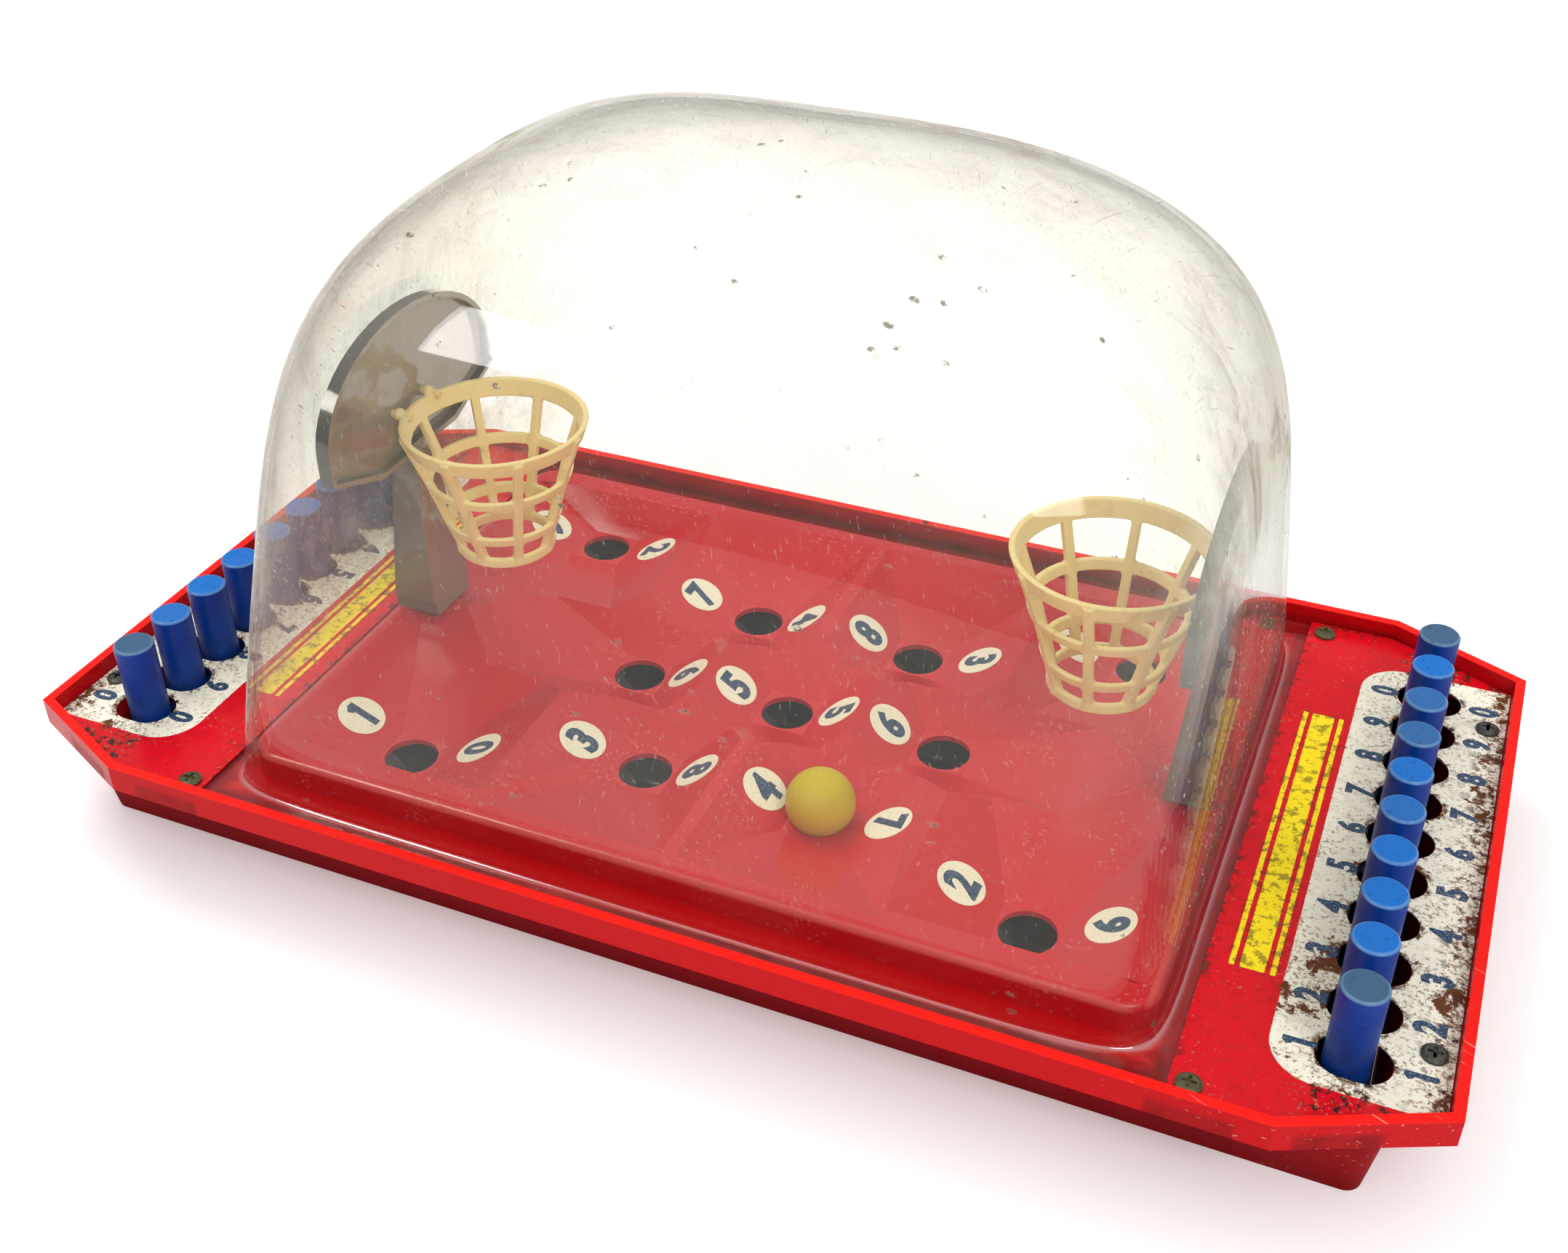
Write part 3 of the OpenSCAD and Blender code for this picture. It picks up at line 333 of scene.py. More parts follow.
# Painted highlight: a lighter pink band along the rounded top edge of the court's border.
painted_border_highlight = court_red.calc(
    "MULTIPLY",
    court_red.calc(
        "MAXIMUM", court_red.step(court_side, 0.0768, 0.0778), court_red.step(court_end, 0.1148, 0.1158)
    ),
    court_red.step(court_red.z, 0.0308, 0.0318, 0, 0.4),
)
court_color = court_red.tint(painted_border_highlight, court_color, (0.72, 0.16, 0.16))
court_red.set(color=court_color, rough=court_red.step(court_red.noise(0.02, 5), 0.3, 0.7, 0.16, 0.28))
court_red.set(Specular_IOR_Level=0.40)
court_waves = court_red.bump(court_red.noise(0.018, 2), 0.00015)
court_red.set(normal=court_red.bump(court_dust, 0.00002, court_waves))
court = reworked("court")


def pit_ridge(middle, edge):
    inside = abs(middle.x) < 0.112 and abs(middle.y) < 0.074
    return inside and middle.z > 0.0245 and edge.calc_length() > 0.003


soften(court, 0.0013, 4, pit_ridge, 8)


def court_edge(middle, edge):
    return middle.z > 0.0325 and (abs(middle.x) > 0.112 or abs(middle.y) > 0.074)


soften(court, 0.0022, 5, court_edge, 30)
dressed("court_moulding", court, court_red, "frame", ["court"])

# Number stickers
# Twenty round cream paper stickers beside the pits, each with a navy numeral whose foot
# points at its hole. They are the CAD discs, with the ink laid on top.
paper = Finish("sticker_paper")
paper_age = paper.tint(paper.noise(0.008, 5, 0.6), (0.80, 0.74, 0.56), (0.88, 0.83, 0.67))
paper_specks = paper.spots(0.0005, 0.12, 0.05)
paper.set(color=paper.tint(paper.calc("MULTIPLY", paper_specks, 0.35), paper_age, (0.3, 0.22, 0.18)))
paper.set(rough=paper.step(paper.noise(0.003, 3), 0.3, 0.7, 0.4, 0.6))
paper.set(normal=paper.bump(paper.noise(0.0009, 3), 0.00002))


def dress_node(node, finish):
    """Gives a CAD node that stays in view its finish."""
    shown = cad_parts[node]
    if not shown.material_slots:
        shown.data.materials.append(None)
    for material_slot in shown.material_slots:
        material_slot.material = finish.material


def add_numeral(sheet, text, height, weight, narrow, place, top, normal, thick):
    """Adds one bold numeral, centred at place, to a bmesh."""
    letter = bpy.data.curves.new("numeral", "FONT")
    letter.body = text
    letter.size = 1
    letter.bevel_depth = weight
    letter.bevel_resolution = 0
    letter.extrude = 0.5
    letter.resolution_u = 6
    stamp = bpy.data.objects.new("numeral", letter)
    bpy.context.scene.collection.objects.link(stamp)
    bpy.context.view_layer.update()
    mesh = bpy.data.meshes.new_from_object(stamp.evaluated_get(bpy.context.evaluated_depsgraph_get()))
    if text == "1":
        flag = bmesh.new()
        flag.from_mesh(mesh)
        stem_top = max(v.co.y for v in flag.verts)
        stem_left = min(v.co.x for v in flag.verts)
        block = bmesh.ops.create_cube(flag, size=1)["verts"]
        bmesh.ops.scale(flag, verts=block, vec=(0.15 + weight, 0.12 + weight, 0.9))
        bmesh.ops.rotate(flag, verts=block, matrix=Matrix.Rotation(0.6, 3, "Z"))
        bmesh.ops.translate(flag, verts=block, vec=(stem_left, stem_top - 0.12, 0))
        flag.to_mesh(mesh)
        flag.free()
    xs = [v.co.x for v in mesh.vertices]
    ys = [v.co.y for v in mesh.vertices]
    tall = max(ys) - min(ys)
    middle = Vector(((max(xs) + min(xs)) / 2, (max(ys) + min(ys)) / 2, 0))
    size = height / tall
    across = Vector(top).cross(Vector(normal))
    turn = Matrix((across, Vector(top), Vector(normal))).transposed().to_4x4()
    mesh.transform(
        Matrix.Translation(place) @ turn @ Matrix.Diagonal((size * narrow, size, thick, 1))
        @ Matrix.Translation(-middle)
    )
    sheet.from_mesh(mesh)
    bpy.data.objects.remove(stamp)
    bpy.data.curves.remove(letter)
    bpy.data.meshes.remove(mesh)


dress_node("number_stickers", paper)
navy_ink = Finish("navy_ink")
ink_wear = navy_ink.calc("MULTIPLY", navy_ink.spots(0.0004, 0.16, 0.06), 0.5)
ink_shade = navy_ink.tint(navy_ink.noise(0.003, 3), (0.004, 0.034, 0.085), (0.008, 0.052, 0.13))
navy_ink.set(color=navy_ink.tint(ink_wear, ink_shade, (0.5, 0.5, 0.5)))
navy_ink.set(rough=navy_ink.step(navy_ink.noise(0.002, 3), 0.3, 0.7, 0.35, 0.55))
navy_ink.set(normal=navy_ink.bump(navy_ink.noise(0.0006, 2), 0.00001))
pit_floor = 0.0234
pit_half = 0.0075
short_slope = 0.65
long_slope = 0.44
near = 0.015
far = 0.018
sticker_face = 0.00015
corner_x = 0.0836
inner_x = 0.0244
middle_x = 0.0444
inner_y = 0.0366
front_y = -0.0500
back_y = 0.0535
court_numerals = [
    (-corner_x, front_y, "1", "0", far, far, long_slope, long_slope),
    (-inner_x, -inner_y, "3", "8", far, near, long_slope, short_slope),
    (inner_x, -inner_y, "4", "7", near, far, short_slope, long_slope),
    (corner_x, front_y, "2", "9", far, far, long_slope, long_slope),
    (-middle_x, 0, "", "6", far, near, long_slope, short_slope),
    (0, 0, "5", "5", near, near, short_slope, short_slope),
    (middle_x, 0, "6", "", near, far, short_slope, long_slope),
    (-corner_x, back_y, "9", "2", far, far, long_slope, long_slope),
    (-inner_x, inner_y, "7", "4", far, near, long_slope, short_slope),
    (inner_x, inner_y, "8", "3", near, far, short_slope, long_slope),
    (corner_x, back_y, "0", "1", far, far, long_slope, long_slope),
]
court_ink = bmesh.new()
for x, y, left_text, right_text, left_far, right_far, left_slope, right_slope in court_numerals:
    for side, text, away, slope in (
        (-1, left_text, left_far, left_slope),
        (1, right_text, right_far, right_slope),
    ):
        if not text:
            continue
        tilt = math.atan(slope)
        top = Vector((side * math.cos(tilt), 0, math.sin(tilt)))
        normal = Vector((-side * math.sin(tilt), 0, math.cos(tilt)))
        spot = Vector((x + side * away, y, pit_floor + (away - pit_half) * slope))
        spot += normal * sticker_face
        add_numeral(court_ink, text, 0.0094, 0.050, 0.92, spot, top, normal, 0.00002)
dressed("court_numerals", court_ink, navy_ink, "frame", weighted=False)

# Dome
# One clear shell drawn down over a former, with a small foot radius and a flange. Years of
# handling left it yellowed, dusty and scratched, with chips and smears near the top.
def clear_skin(finish, dust, mark=0.0):
    """Clear wall under a film of dust, which looks denser the more steeply one looks along it.
    The tight curve at the foot is glossier, as nothing ever rubs it."""
    facing = finish.add("ShaderNodeLayerWeight", {"Blend": 0.5}, "Facing")
    edge_on = finish.calc("POWER", facing, 5.0)
    pass_color = finish.tint(edge_on, (0.988, 0.984, 0.956), (0.60, 0.61, 0.60))
    see_through = finish.add("ShaderNodeBsdfTransparent", {"Color": pass_color})
    shine = finish.add("ShaderNodeBsdfGlossy", {"Color": (1, 1, 1, 1), "Roughness": 0.03})
    shine_share = finish.calc("MULTIPLY_ADD", edge_on, 0.50, 0.019)
    foot_curve = finish.calc(
        "MULTIPLY", finish.step(finish.z, 0.02605, 0.0262), finish.step(finish.z, 0.0290, 0.0275, 0, 0.18)
    )
    shine_share = finish.calc("ADD", shine_share, foot_curve)
    glassy = finish.add("ShaderNodeMixShader", {0: shine_share, 1: see_through, 2: shine})
    slant = finish.calc("MAXIMUM", finish.calc("SUBTRACT", 1.0, facing), 0.09)
    veiled = finish.calc("MAXIMUM", finish.calc("DIVIDE", dust, slant), mark, clamp=True)
    skin = finish.add("ShaderNodeMixShader", {0: veiled, 1: glassy, 2: finish.shader.outputs[0]})
    finish.tree.links.new(skin, finish.tree.nodes["Material Output"].inputs["Surface"])


clear_plastic = Finish("clear_plastic")
haze_clouds = clear_plastic.noise(0.045, 3, 0.6, 0.4)
haze = clear_plastic.step(haze_clouds, 0.35, 0.7, 0.008, 0.024)
haze = clear_plastic.calc("MULTIPLY", haze, clear_plastic.step(clear_plastic.z, 0.09, 0.15, 0.5, 2.8))
dome_side = clear_plastic.calc("ABSOLUTE", clear_plastic.x)
high = clear_plastic.step(clear_plastic.z, 0.075, 0.175)
shoulder = clear_plastic.calc("MULTIPLY", high, clear_plastic.step(dome_side, 0.02, 0.09, 0.45, 1.0))
smear_cloud = clear_plastic.noise((0.022, 0.016, 0.026), 5, 0.75, 1.0)
smears = clear_plastic.step(smear_cloud, 0.44, 0.72, 0.004, 0.10)
smears = clear_plastic.calc("MULTIPLY", smears, shoulder)
end_wall = clear_plastic.step(dome_side, 0.104, 0.114)
streak_cloud = clear_plastic.noise((0.007, 0.006, 0.05), 4, 0.6)
streaks = clear_plastic.step(streak_cloud, 0.42, 0.72, 0.045, 0.095)
streaks = clear_plastic.calc("MULTIPLY", streaks, end_wall)
wiped = clear_plastic.calc(
    "MULTIPLY",
    clear_plastic.step(clear_plastic.x, 0.09, 0.112),
    clear_plastic.step(clear_plastic.z, 0.120, 0.098, 0, 0.93),
)
wall_film = clear_plastic.calc(
    "MULTIPLY",
    clear_plastic.step(dome_side, 0.080, 0.112, 0, 0.09),
    clear_plastic.step(clear_plastic.z, 0.060, 0.095),
)
left_film = clear_plastic.calc(
    "MULTIPLY",
    clear_plastic.step(clear_plastic.x, -0.100, -0.116),
    clear_plastic.step(clear_plastic.noise(0.010, 5, 0.7), 0.38, 0.62, 0.02, 0.13),
)
streaks = clear_plastic.calc("ADD", streaks, clear_plastic.calc("MAXIMUM", wall_film, left_film))
streaks = clear_plastic.calc("MULTIPLY", streaks, clear_plastic.calc("SUBTRACT", 1.0, wiped))
long_lines = clear_plastic.noise((0.05, 0.0004, 0.0022), 1, turn=(0.4, 0.3, 0.7))
cross_lines = clear_plastic.noise((0.0005, 0.04, 0.0020), 1, turn=(0.2, 0.5, -0.5))
scratches = clear_plastic.calc(
    "MAXIMUM",
    clear_plastic.step(long_lines, 0.70, 0.75, 0, 0.16),
    clear_plastic.step(cross_lines, 0.70, 0.75, 0, 0.16),
)
dust = clear_plastic.calc(
    "ADD", clear_plastic.calc("ADD", haze, smears), clear_plastic.calc("ADD", streaks, scratches)
)
low_clear = clear_plastic.step(clear_plastic.z, 0.0365, 0.0430, 0.05, 1.0)
dust = clear_plastic.calc("MULTIPLY", dust, low_clear)
mark_areas = clear_plastic.noise(0.020, 2)
chips = clear_plastic.calc(
    "MULTIPLY",
    clear_plastic.step(clear_plastic.cells((0.015, 0.006, 0.006), turn=(0.2, 0.1, 0.5)), 0.16, 0.10),
    clear_plastic.step(mark_areas, 0.56, 0.60),
)
specks = clear_plastic.calc(
    "MULTIPLY",
    clear_plastic.step(clear_plastic.cells((0.0042, 0.003, 0.003)), 0.10, 0.05),
    clear_plastic.step(mark_areas, 0.36, 0.31),
)
chip_edges = clear_plastic.step(clear_plastic.noise(0.0012, 3, 0.7), 0.40, 0.55)
marks = clear_plastic.calc("MULTIPLY", clear_plastic.calc("MAXIMUM", chips, specks), chip_edges)
dust_color = clear_plastic.tint(
    clear_plastic.step(smear_cloud, 0.42, 0.72), (0.66, 0.63, 0.52), (0.34, 0.29, 0.22)
)
dust_color = clear_plastic.tint(marks, dust_color, (0.09, 0.08, 0.05))
clear_plastic.set(color=dust_color, rough=clear_plastic.step(haze_clouds, 0.3, 0.7, 0.5, 0.7))
clear_plastic.set(normal=clear_plastic.bump(haze_clouds, 0.0005))
clear_skin(clear_plastic, dust, clear_plastic.calc("MULTIPLY", marks, 0.8))
clear_inside = Finish("clear_inside")
inside_cloud = clear_inside.noise(0.04, 2)
clear_inside.set(color=clear_inside.tint(inside_cloud, (0.80, 0.79, 0.74), (0.86, 0.85, 0.80)))
clear_inside.set(rough=clear_inside.step(inside_cloud, 0.3, 0.7, 0.5, 0.7))
clear_inside.set(normal=clear_inside.bump(inside_cloud, 0.0005))
clear_skin(clear_inside, clear_inside.step(inside_cloud, 0.4, 0.7, 0.002, 0.008))
dome = reworked("dome", flat=0.01)
bmesh.ops.join_triangles(
    dome, faces=dome.faces, angle_face_threshold=math.radians(30), angle_shape_threshold=math.radians(75)
)
dome_creases = dome.edges.layers.float.new("crease_edge")
for edge in dome.edges:
    if edge.calc_face_angle() > math.radians(50):
        edge[dome_creases] = 0.9
dome_core = Vector((0, 0, 0.06))
for face in dome.faces:
    if face.normal.dot(face.calc_center_median() - dome_core) < 0:
        face.material_index = 1
dome_piece = dressed("clear_dome", dome, clear_plastic, "frame", ["dome"], 180, False)
dome_piece.data.materials.append(clear_inside.material)
dome_curve = dome_piece.modifiers.new("curve", "SUBSURF")
dome_curve.levels = 2
dome_curve.render_levels = 2

# End plates
# Printed tin, one at each end, screwed down over the dome's flange. The print is a cream panel
# for the numbers on red, and a wide yellow stripe between two thin ones. Rust has come through
# it from the edges.
tin = Finish("printed_tin")
tin_x = tin.calc("ABSOLUTE", tin.x)
tin_y = tin.calc("ABSOLUTE", tin.y)
print_wobble = tin.calc("MULTIPLY", tin.calc("SUBTRACT", tin.noise(0.001, 2), 0.5), 0.0003)


def rounded_box(finish, x, y, middle, half_x, half_y, corner):
    """Distance outside a box with round corners, on the plate's own x and y."""
    along = finish.calc("ABSOLUTE", finish.calc("SUBTRACT", x, middle))
    out_x = finish.calc("SUBTRACT", along, half_x - corner)
    out_y = finish.calc("SUBTRACT", finish.calc("ABSOLUTE", y), half_y - corner)
    out_x = finish.calc("MAXIMUM", out_x, 0.0)
    out_y = finish.calc("MAXIMUM", out_y, 0.0)
    square = finish.calc(
        "ADD", finish.calc("MULTIPLY", out_x, out_x), finish.calc("MULTIPLY", out_y, out_y)
    )
    return finish.calc("SUBTRACT", finish.calc("SQRT", square), corner)


digits = "1234567890"
key_pitch = 0.015
half_pitch = key_pitch / 2
lane_y = tin.calc("WRAP", tin.calc("ADD", tin.y, half_pitch), half_pitch, -half_pitch)
panel_out = tin.calc("ADD", rounded_box(tin, tin_x, tin_y, 0.166, 0.025, 0.078, 0.011), print_wobble)
panel = tin.step(panel_out, 0.00012, -0.00012)
stripe_x = 0.1338
wide_stripe = rounded_box(tin, tin_x, tin_y, stripe_x, 0.0028, 0.050, 0.0006)
stripe_side = tin.calc("ABSOLUTE", tin.calc("SUBTRACT", tin_x, stripe_x))
thin_stripes = rounded_box(tin, stripe_side, tin_y, 0.0046, 0.0006, 0.050, 0.0003)
stripe_out = tin.calc("MINIMUM", wide_stripe, thin_stripes)
stripes = tin.step(tin.calc("ADD", stripe_out, print_wobble), 0.0001, -0.0001)
slot_out = rounded_box(tin, tin_x, lane_y, 0.15875, 0.00825, 0.00625, 0.00624)
near_slot = tin.step(slot_out, 0.0022, 0.0)
near_end = tin.step(tin_x, 0.168, 0.1775)
corner_out = tin.calc("ADD", tin.calc("MULTIPLY", tin_x, 0.4126), tin.calc("MULTIPLY", tin_y, 0.9109))
near_corner = tin.step(corner_out, 0.1448, 0.1495)
near_fold = tin.step(tin_x, 0.1262, 0.1238)
near_side = tin.step(tin_y, 0.088, 0.0932)
exposed = tin.calc("MAXIMUM", near_slot, near_end)
exposed = tin.calc("MAXIMUM", exposed, near_corner)
near_edge = tin.calc("MAXIMUM", near_fold, near_side)
exposed = tin.calc("MAXIMUM", exposed, tin.calc("MULTIPLY", near_edge, 0.6))
off_panel = tin.calc("SUBTRACT", 1.0, panel)
rust_side = tin.calc("ADD", tin.calc("MULTIPLY", tin.calc("SIGN", tin.x), tin.y), 0.046)
rust_reach = tin.calc("SUBTRACT", tin_x, 0.149)
rust_reach = tin.calc(
    "SQRT", tin.calc("MULTIPLY_ADD", rust_side, rust_side, tin.calc("MULTIPLY", rust_reach, rust_reach))
)
rust_patch = tin.step(rust_reach, 0.022, 0.004)
rust_field = tin.calc("ADD", tin.noise(0.0075, 6, 0.74, 0.3), tin.calc("MULTIPLY", exposed, 0.11))
rust_field = tin.calc("ADD", rust_field, tin.calc("MULTIPLY", rust_patch, 0.09))
rust = tin.step(tin.calc("SUBTRACT", rust_field, tin.calc("MULTIPLY", off_panel, 0.05)), 0.625, 0.675)
speck_area = tin.step(tin.noise(0.010, 3, 0.6), 0.40, 0.64)
speck_area = tin.calc(
    "MAXIMUM", tin.calc("MULTIPLY", speck_area, 0.85), tin.calc("MAXIMUM", exposed, rust_patch)
)
speck_area = tin.calc("SUBTRACT", speck_area, tin.calc("MULTIPLY", off_panel, 0.75))
specks_tin = tin.step(tin.calc("MULTIPLY_ADD", speck_area, 0.10, tin.noise(0.0011, 3, 0.65)), 0.59, 0.69)
cream_print = tin.tint(tin.noise(0.01, 3), (0.90, 0.85, 0.68), (0.96, 0.93, 0.79))
red_print = tin.tint(tin.noise(0.02, 3), (0.62, 0.003, 0.009), (0.72, 0.005, 0.015))
yellow_print = tin.tint(tin.noise(0.004, 3), (0.93, 0.68, 0.008), (0.98, 0.80, 0.015))
stripe_near = tin.step(stripe_out, 0.0011, 0.0)
print_color = tin.tint(stripes, red_print, yellow_print)
print_color = tin.tint(panel, print_color, cream_print)
grime_reach = tin.calc("MAXIMUM", exposed, tin.calc("MULTIPLY", stripe_near, 0.5))
grime_reach = tin.calc("ADD", grime_reach, 0.14, clamp=True)
grime = tin.calc("MULTIPLY", tin.step(tin.noise(0.0026, 5, 0.7), 0.50, 0.60), grime_reach)
print_color = tin.tint(grime, print_color, (0.05, 0.015, 0.012))
speck_color = tin.tint(tin.noise(0.004, 2), (0.19, 0.10, 0.05), (0.48, 0.31, 0.18))
print_color = tin.tint(tin.calc("MULTIPLY", specks_tin, 0.8), print_color, speck_color)
rust_color = tin.tint(tin.noise(0.0016, 5, 0.7), (0.035, 0.013, 0.008), (0.26, 0.085, 0.030))
print_color = tin.tint(rust, print_color, rust_color)
tin_rough = tin.step(tin.noise(0.008, 5), 0.3, 0.7, 0.16, 0.3)
rusted = tin.calc("MAXIMUM", rust, specks_tin)
tin_rough = tin.calc("MAXIMUM", tin_rough, tin.calc("MULTIPLY", rusted, 0.85))
tin.set(color=print_color, rough=tin_rough, Specular_IOR_Level=0.13)
rust_height = tin.calc("MAXIMUM", rust, tin.calc("MULTIPLY", specks_tin, 0.5))
rust_height = tin.calc("MULTIPLY", rust_height, tin.noise(0.0007, 4, 0.7))
tin.set(normal=tin.bump(rust_height, 0.00018, tin.bump(tin.noise(0.015, 2), 0.0003)))
plate_top = 0.0265
number_columns = (0.1472, 0.1725)
for end, turn in (("right", 0), ("left", math.pi)):
    plate = reworked(f"end_plate_{end}")
    soften(plate, 0.00012, 2)
    dressed(f"tin_plate_{end}", plate, tin, "frame", [f"end_plate_{end}"])
    plate_ink = bmesh.new()
    half_turn = Matrix.Rotation(turn, 4, "Z")
    for lane, text in enumerate(digits):
        lane_middle = (lane - 4.5) * key_pitch
        for column in number_columns:
            spot = half_turn @ Vector((column, lane_middle, plate_top + 0.00002))
            top = half_turn.to_3x3() @ Vector((-1, 0, 0))
            add_numeral(plate_ink, text, 0.0073, 0.053, 0.80, spot, top, Vector((0, 0, 1)), 0.00002)
    dressed(f"plate_numerals_{end}", plate_ink, navy_ink, "frame", weighted=False)

# Keys
# Ten blue moulded keys at each end, on a steel shaft under the deck. Their tops are a lighter blue
# than their sides, with a paler ring at the edge, and on some keys faded to grey; dirt has gathered where
# they pass through the tin.
blue_plastic = Finish("blue_plastic")
shaft_x = 0.1574
key_x = blue_plastic.calc("SUBTRACT", blue_plastic.calc("ABSOLUTE", blue_plastic.x), shaft_x)
key_y = blue_plastic.calc("ADD", blue_plastic.y, half_pitch)
key_y = blue_plastic.calc("WRAP", key_y, half_pitch, -half_pitch)
key_out = blue_plastic.calc(
    "SQRT",
    blue_plastic.calc(
        "ADD", blue_plastic.calc("MULTIPLY", key_x, key_x), blue_plastic.calc("MULTIPLY", key_y, key_y)
    ),
)
key_number = blue_plastic.calc("FLOOR", blue_plastic.calc("DIVIDE", blue_plastic.y, key_pitch))
key_luck = blue_plastic.add(
    "ShaderNodeTexWhiteNoise",
    {"W": blue_plastic.calc("ADD", key_number, blue_plastic.calc("SIGN", blue_plastic.x))},
    noise_dimensions="1D",
)
key_blue = blue_plastic.tint(blue_plastic.noise(0.01, 4), (0.002, 0.034, 0.23), (0.004, 0.052, 0.33))
key_top = blue_plastic.step(blue_plastic.z, 0.0472, 0.0478)
outer_key = blue_plastic.step(
    blue_plastic.calc("ABSOLUTE", blue_plastic.calc("ADD", key_number, 0.5)), 4.1, 4.4, 0, 0.95
)
key_wear = blue_plastic.calc("MAXIMUM", outer_key, blue_plastic.step(key_luck, 0.3, 1.0, 0, 0.6))
faded = blue_plastic.tint(key_wear, (0.006, 0.17, 0.60), (0.055, 0.12, 0.17))
key_color = blue_plastic.tint(blue_plastic.calc("MULTIPLY", key_top, 0.85), key_blue, faded)
key_ring = blue_plastic.calc("MULTIPLY", key_top, blue_plastic.step(key_out, 0.0044, 0.0048))
key_ring = blue_plastic.calc("MULTIPLY", key_ring, 0.45)
key_color = blue_plastic.tint(key_ring, key_color, (0.20, 0.36, 0.56))
key_low = blue_plastic.step(blue_plastic.z, 0.036, 0.026)
key_dirt = blue_plastic.step(blue_plastic.noise(0.004, 6, 0.7), 0.35, 0.7)
key_dirt = blue_plastic.calc("MULTIPLY", key_low, key_dirt)
key_spots = blue_plastic.calc("MULTIPLY", blue_plastic.spots(0.0016, 0.06, 0.05, 4), 0.5)
key_dirt = blue_plastic.calc("MAXIMUM", key_dirt, key_spots)
dirt_share = blue_plastic.calc("MULTIPLY", key_dirt, 0.7)
key_color = blue_plastic.tint(dirt_share, key_color, (0.012, 0.018, 0.045))
key_rough = blue_plastic.step(blue_plastic.noise(0.005, 5), 0.3, 0.7, 0.3, 0.5)
key_rough = blue_plastic.calc("ADD", key_rough, blue_plastic.calc("MULTIPLY", key_dirt, 0.3))
blue_plastic.set(color=key_color, rough=key_rough)
key_grain = blue_plastic.bump(blue_plastic.noise((0.0016, 0.0016, 0.02), 3), 0.00004)
blue_plastic.set(normal=blue_plastic.bump(blue_plastic.noise(0.0004, 2), 0.000012, key_grain))
blue_plastic.set(Specular_IOR_Level=0.2)
for end in "rl":
    for digit in digits:
        name = f"key_{end}{digit}"
        key = reworked(name)
        soften(key, 0.00022, 3, lambda middle, edge: middle.z > 0.0195)
        dressed(f"blue_{name}", key, blue_plastic, name, [name])

# Baskets
# Cream mouldings: an upper band and three hoops joined by eight bars, all with the soft
# corners of a cheap mould. Two round-ended prongs hold each basket in its backboard.
cream_plastic = Finish("cream_plastic")
cream = cream_plastic.tint(cream_plastic.noise(0.012, 5, 0.6), (0.80, 0.62, 0.26), (0.90, 0.75, 0.38))
cream_dirt = cream_plastic.step(cream_plastic.noise(0.005, 6, 0.7), 0.56, 0.75, 0, 0.5)
cream = cream_plastic.tint(cream_dirt, cream, (0.42, 0.28, 0.09))
cream_plastic.set(color=cream)
cream_plastic.set(rough=cream_plastic.step(cream_plastic.noise(0.004, 4), 0.3, 0.7, 0.36, 0.55))
cream_plastic.set(Subsurface_Weight=0.12, Subsurface_Scale=0.002)
cream_plastic.set(normal=cream_plastic.bump(cream_plastic.noise(0.0012, 3), 0.00004))
for end in ("right", "left"):
    basket = reworked(f"basket_{end}", flat=0.2)
    basket_mesh = bpy.data.meshes.new("basket_block")
    basket.to_mesh(basket_mesh)
    basket.free()
    block = bpy.data.objects.new("basket_block", basket_mesh)
    bpy.context.scene.collection.objects.link(block)
    melt = block.modifiers.new("melt", "REMESH")
    melt.mode = "VOXEL"
    melt.voxel_size = 0.00034
    bpy.context.view_layer.update()
    fused = bpy.data.meshes.new_from_object(block.evaluated_get(bpy.context.evaluated_depsgraph_get()))
    bpy.data.objects.remove(block)
    basket = bmesh.new()
    basket.from_mesh(fused)
    for _ in range(2):
        bmesh.ops.smooth_vert(
            basket, verts=basket.verts, factor=0.5, use_axis_x=True, use_axis_y=True, use_axis_z=True
        )
    basket_name = f"cream_basket_{end}"
    basket_node = f"basket_{end}"
    dressed(basket_name, basket, cream_plastic, "frame", [basket_node], 180, False)

# Backboards
# Smoke-coloured mouldings, each one piece with its hollow post: an arched face with a lip
# round it, and a foot with a notch at each side, screwed up from under the court.
smoke_plastic = Finish("smoke_plastic")
smoke = smoke_plastic.tint(smoke_plastic.noise(0.02, 4), (0.21, 0.18, 0.13), (0.29, 0.25, 0.19))
smoke_dust = smoke_plastic.step(smoke_plastic.noise(0.003, 6, 0.7), 0.5, 0.8, 0, 0.35)
smoke = smoke_plastic.tint(smoke_dust, smoke, (0.34, 0.32, 0.30))
# Painted dark reflection: the lip's surfaces, picked out by their direction, are tinted near-black.
smoke_normal = smoke_plastic.add("ShaderNodeNewGeometry", {}, "Normal")
smoke_across = smoke_plastic.add("ShaderNodeSeparateXYZ", {0: smoke_normal}, "X")
painted_dark_lip = smoke_plastic.calc(
    "MULTIPLY",
    smoke_plastic.step(smoke_plastic.calc("ABSOLUTE", smoke_across), 0.9, 0.4),
    smoke_plastic.step(smoke_plastic.z, 0.082, 0.086, 0.45, 1.0),
)
smoke = smoke_plastic.tint(painted_dark_lip, smoke, (0.045, 0.045, 0.042))
smoke_plastic.set(color=smoke)
smoke_plastic.set(rough=smoke_plastic.step(smoke_plastic.noise(0.01, 5), 0.3, 0.7, 0.07, 0.16))
smoke_plastic.set(Coat_Weight=1.0, Coat_Roughness=0.08, Coat_IOR=1.45)
smoke_waves = smoke_plastic.bump(smoke_plastic.noise(0.022, 2), 0.0012)
smoke_plastic.set(normal=smoke_waves, Coat_Normal=smoke_waves)
for end in ("right", "left"):
    post = reworked(f"backboard_{end}")
    soften(post, 0.0003, 3, lambda middle, edge: edge.calc_length() > 0.0012)
    dressed(f"smoke_backboard_{end}", post, smoke_plastic, "frame", [f"backboard_{end}"])

